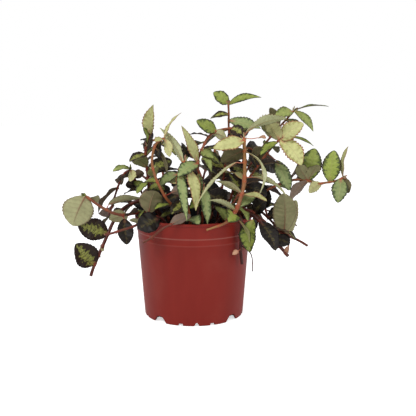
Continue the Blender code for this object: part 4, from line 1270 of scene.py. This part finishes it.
def outer_profile():
    """(radius, height) down the pot's outer side: rolled rim, ledge and a faint line."""
    bead = POT_HEIGHT - BEAD_HEIGHT
    rim = []
    for i in range(9):
        turn = math.radians(90 - 90 * i / 8)
        rim.append((RIM_RADIUS - 0.6 + 0.6 * math.cos(turn), POT_HEIGHT - 0.6 + 0.6 * math.sin(turn)))
    rim += [(RIM_RADIUS, bead + 0.5), (RIM_RADIUS - 0.12, bead + 0.15), (RIM_RADIUS - 0.5, bead)]
    rim += [(outer_radius(bead) + 0.1, bead - 0.05), (outer_radius(bead - 0.3), bead - 0.35)]
    ledge = POT_HEIGHT - LEDGE_BELOW_RIM
    line = POT_HEIGHT - LINE_BELOW_RIM
    wall = [(outer_radius(h), h) for h in (POT_HEIGHT - 8, ledge + 1.0, ledge + 0.5)]
    wall += [(outer_radius(ledge + 0.5) - 0.1, ledge + 0.3), (outer_radius(ledge), ledge)]
    wall += [(outer_radius(h), h) for h in (ledge - 1, line + 0.5)]
    wall += [(outer_radius(line) + LINE_DEPTH, line + 0.2), (outer_radius(line) + LINE_DEPTH, line)]
    wall += [(outer_radius(h), h) for h in (line - 0.5, 62, 41, 20, 8, 1.2)]
    return rim + wall + [(BASE_RADIUS - 0.05, 0.35), (BASE_RADIUS - 0.4, 0)]


def inner_profile():
    """(radius, height) from the foot's inner side, under the floor and up to the rim."""
    floor_top = FLOOR_HEIGHT + FLOOR_THICKNESS
    ledge = POT_HEIGHT - LEDGE_BELOW_RIM
    foot = BASE_RADIUS - FOOT_WIDTH
    below = [(foot, 0), (foot, FLOOR_HEIGHT), (25, FLOOR_HEIGHT), (0, FLOOR_HEIGHT)]
    above = [(0, floor_top), (25, floor_top), (inner_radius(floor_top) - 1, floor_top)]
    above += [(inner_radius(h), h) for h in (floor_top + 1, 30, 60, ledge, ledge + 0.5, 95)]
    return below, above + [(inner_radius(POT_HEIGHT), POT_HEIGHT - 0.3), (RIM_RADIUS - 1.8, POT_HEIGHT)]


def turned(name, profile, sides):
    """A mesh turned about Z from a profile that starts and may end on the axis."""
    mesh = bpy.data.meshes.new(name)
    work = bmesh.new()
    columns = []
    for i in range(sides):
        turn = math.tau * i / sides
        column = []
        for j, (radius, height) in enumerate(profile):
            if radius == 0 and i:
                column.append(columns[0][j])
            else:
                spot = Vector((radius * math.cos(turn), radius * math.sin(turn), height)) * MM
                column.append(work.verts.new(spot + POT_AXIS))
        columns.append(column)
    for i in range(sides):
        left = columns[i]
        right = columns[(i + 1) % sides]
        for j in range(len(profile) - 1):
            corners = [left[j], left[j + 1], right[j + 1], right[j]]
            kept = [c for k, c in enumerate(corners) if c not in corners[:k]]
            if len(kept) > 2:
                work.faces.new(kept)
    bmesh.ops.recalc_face_normals(work, faces=work.faces)
    work.to_mesh(mesh)
    work.free()
    obj = bpy.data.objects.new(name, mesh)
    bpy.context.scene.collection.objects.link(obj)
    return obj


def foot_cutter(angle, shape, cutters):
    """A tapered block that cuts one notch up through the foot, at an angle from the front."""
    below, above, height, inner = shape
    outer = BASE_RADIUS + 4
    mesh = bpy.data.meshes.new("foot_cutter")
    block = bmesh.new()
    bmesh.ops.create_cube(block, size=1)
    for vertex in block.verts:
        top = vertex.co.z > 0
        vertex.co.x *= above if top else below + (below - above) / height
        vertex.co.y = inner if vertex.co.y > 0 else outer
        vertex.co.y *= -1
        vertex.co.z = height if top else -1
    bmesh.ops.recalc_face_normals(block, faces=block.faces)
    turn = Matrix.Rotation(math.radians(angle + NOTCH_TURN), 4, "Z")
    bmesh.ops.transform(
        block, matrix=Matrix.Translation(POT_AXIS) @ turn @ Matrix.Scale(MM, 4), verts=block.verts
    )
    block.to_mesh(mesh)
    block.free()
    obj = bpy.data.objects.new("foot_cutter", mesh)
    cutters.objects.link(obj)


def applied(obj):
    """The object's mesh as its modifiers leave it, with the modifiers gone."""
    bpy.context.view_layer.update()
    graph = bpy.context.evaluated_depsgraph_get()
    mesh = bpy.data.meshes.new_from_object(obj.evaluated_get(graph))
    obj.modifiers.clear()
    obj.data = mesh


def dress_pot(outside, inside):
    below, above = inner_profile()
    pot = turned("pot_shell", above[::-1][1:][::-1] and (above + outer_profile() + below), POT_SIDES)
    cutters = bpy.data.collections.new("foot_cutters")
    bpy.context.scene.collection.children.link(cutters)
    for turn in range(0, 360, 90):
        foot_cutter(turn, VEE, cutters)
        foot_cutter(turn + 45, SLOT, cutters)
        foot_cutter(turn - DENT_OFFSET, DENT, cutters)
        foot_cutter(turn + DENT_OFFSET, DENT, cutters)
    cut = pot.modifiers.new("notches", "BOOLEAN")
    cut.operand_type = "COLLECTION"
    cut.collection = cutters
    applied(pot)
    for obj in list(cutters.objects):
        bpy.data.objects.remove(obj)
    bpy.data.collections.remove(cutters)
    pot.data.materials.clear()
    pot.data.materials.append(outside)
    pot.data.materials.append(inside)
    for face in pot.data.polygons:
        centre = face.center - POT_AXIS
        reach = math.hypot(centre.x, centre.y) / MM
        height = centre.z / MM
        is_inside = height > FLOOR_HEIGHT + 1 and reach < inner_radius(height) + 0.3
        face.material_index = 1 if is_inside and height < POT_HEIGHT - 0.05 else 0
    pot.data.shade_smooth()
    pot.data.set_sharp_from_angle(angle=math.radians(32))
    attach(pot, "root")
    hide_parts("pot")
    return pot


def dress_soil(material):
    """Fine lumps on the soil's surface, with crumbs and fibres lying on it."""
    rng = random.Random(31)
    top = POT_HEIGHT - SOIL_BELOW_RIM
    bottom = FLOOR_HEIGHT + FLOOR_THICKNESS + GAP
    edge = inner_radius(top) - GAP
    profile = [(edge * i / SOIL_RINGS, top) for i in range(SOIL_RINGS + 1)]
    profile += [(inner_radius(60) - GAP - 0.2, 60), (inner_radius(bottom) - GAP, bottom), (0, bottom)]
    soil = turned("soil_bed", profile, SOIL_SIDES)
    for vertex in soil.data.vertices:
        if vertex.co.z > (top - 0.1) * MM:
            x = (vertex.co.x - POT_AXIS.x) / MM
            y = (vertex.co.y - POT_AXIS.y) / MM
            lump = 0.45 * math.sin(1.7 * x + 0.9 * y) * math.sin(1.3 * y - 0.7 * x + 2)
            lump += 0.3 * math.sin(3.1 * x) * math.cos(2.7 * y + 1) + rng.uniform(-0.3, 0.3)
            vertex.co.z = (soil_height(x, y) + lump) * MM
    soil.data.materials.append(material)
    soil.data.shade_smooth()
    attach(soil, "root")
    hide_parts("soil")
    crumbs = soil_crumbs(rng, edge)
    crumbs.data.materials.append(material)
    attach(crumbs, "root")


def soil_crumbs(rng, edge):
    work = bmesh.new()
    for i in range(CRUMBS + FIBRES):
        away = edge * 0.97 * math.sqrt(rng.random())
        turn = rng.uniform(0, math.tau)
        x = away * math.cos(turn)
        y = away * math.sin(turn)
        size = rng.uniform(0.5, 1.5) if i < CRUMBS else 0.16
        long_ = 1 if i < CRUMBS else rng.uniform(18, 40)
        made = bmesh.ops.create_icosphere(work, subdivisions=1, radius=size * MM)["verts"]
        spin = Matrix.Rotation(rng.uniform(0, math.tau), 3, "Z")
        spin = spin @ Matrix.Rotation(rng.uniform(-0.25, 0.25), 3, "X")
        for vertex in made:
            spot = vertex.co * rng.uniform(0.7, 1.2)
            spot.y *= long_
            spot.z *= 0.75
            height = soil_height(x, y) + size * 0.4
            vertex.co = spin @ spot + Vector((x, y, height)) * MM + POT_AXIS
    mesh = bpy.data.meshes.new("soil_crumbs")
    work.to_mesh(mesh)
    work.free()
    obj = bpy.data.objects.new("soil_crumbs", mesh)
    bpy.context.scene.collection.objects.link(obj)
    return obj


def soft_light(name, place, aim, size, power):
    lamp = bpy.data.lights.new(name, "AREA")
    lamp.shape = "DISK"
    lamp.size = size
    lamp.energy = power
    obj = bpy.data.objects.new(name, lamp)
    obj.location = place
    obj.rotation_euler = (aim - place).to_track_quat("-Z", "Y").to_euler()
    bpy.context.scene.collection.objects.link(obj)


FLOOR_GLOW = 0.62
FLOOR_BOUNCE = 0.78
WORLD_LIGHT = 0.44


def set_stage():
    """White floor, white surroundings and large soft lamps."""
    mesh = bpy.data.meshes.new("floor")
    mesh.from_pydata([(-4, -4, 0), (4, -4, 0), (4, 4, 0), (-4, 4, 0)], [], [(0, 1, 2, 3)])
    floor = bpy.data.objects.new("floor", mesh)
    floor.location.z = -0.0004
    floor.data.materials.append(stage_floor())
    bpy.context.scene.collection.objects.link(floor)
    world = bpy.data.worlds.new("studio")
    world.use_nodes = True
    tree = world.node_tree
    glow = tree.nodes["Background"]
    glow.inputs["Color"].default_value = (1, 1, 1, 1)
    glow.inputs["Strength"].default_value = WORLD_LIGHT
    seen_glow = tree.nodes.new("ShaderNodeBackground")
    pick = tree.nodes.new("ShaderNodeMixShader")
    rays = tree.nodes.new("ShaderNodeLightPath")
    tree.links.new(rays.outputs["Is Camera Ray"], pick.inputs[0])
    tree.links.new(glow.outputs[0], pick.inputs[1])
    tree.links.new(seen_glow.outputs[0], pick.inputs[2])
    tree.links.new(pick.outputs[0], tree.nodes["World Output"].inputs[0])
    seen_glow.inputs["Color"].default_value = (1, 1, 1, 1)
    bpy.context.scene.world = world
    middle = POT_AXIS + Vector((0, 0, 0.12))
    soft_light("key", POT_AXIS + Vector((-0.6, -0.9, 1.1)), middle, 0.6, 11)
    soft_light("fill", POT_AXIS + Vector((0.8, -0.9, 0.7)), middle, 0.8, 6)
    soft_light("left_edge", POT_AXIS + Vector((-1.0, 0.35, 0.3)), middle, 0.7, 3)
    soft_light("right_edge", POT_AXIS + Vector((1.0, 0.35, 0.3)), middle, 0.7, 2.5)


def set_camera():
    lens = bpy.data.cameras.new("camera")
    lens.lens = LENS
    lens.sensor_width = 36
    camera = bpy.data.objects.new("camera", lens)
    camera.location = POT_AXIS + Vector((0, -VIEW_DISTANCE, VIEW_HEIGHT)) * MM
    camera.rotation_euler = (math.radians(90 - VIEW_DIP), 0, -VIEW_YAW)
    bpy.context.scene.collection.objects.link(camera)
    bpy.context.scene.camera = camera
    bpy.context.scene.view_settings.view_transform = "Standard"


def main():
    set_camera()
    set_stage()
    dress_pot(pot_outside(), pot_inside())
    dress_soil(soil_matter())
    foliage = [leaf_upper(), leaf_under(), leaf_stalk(), stem_skin(), stem_cut()]
    for number, stem in enumerate(all_stems()):
        found, wanted = dress_stem(number, stem, foliage)
        print(stem.name, found, "of", wanted)


main()
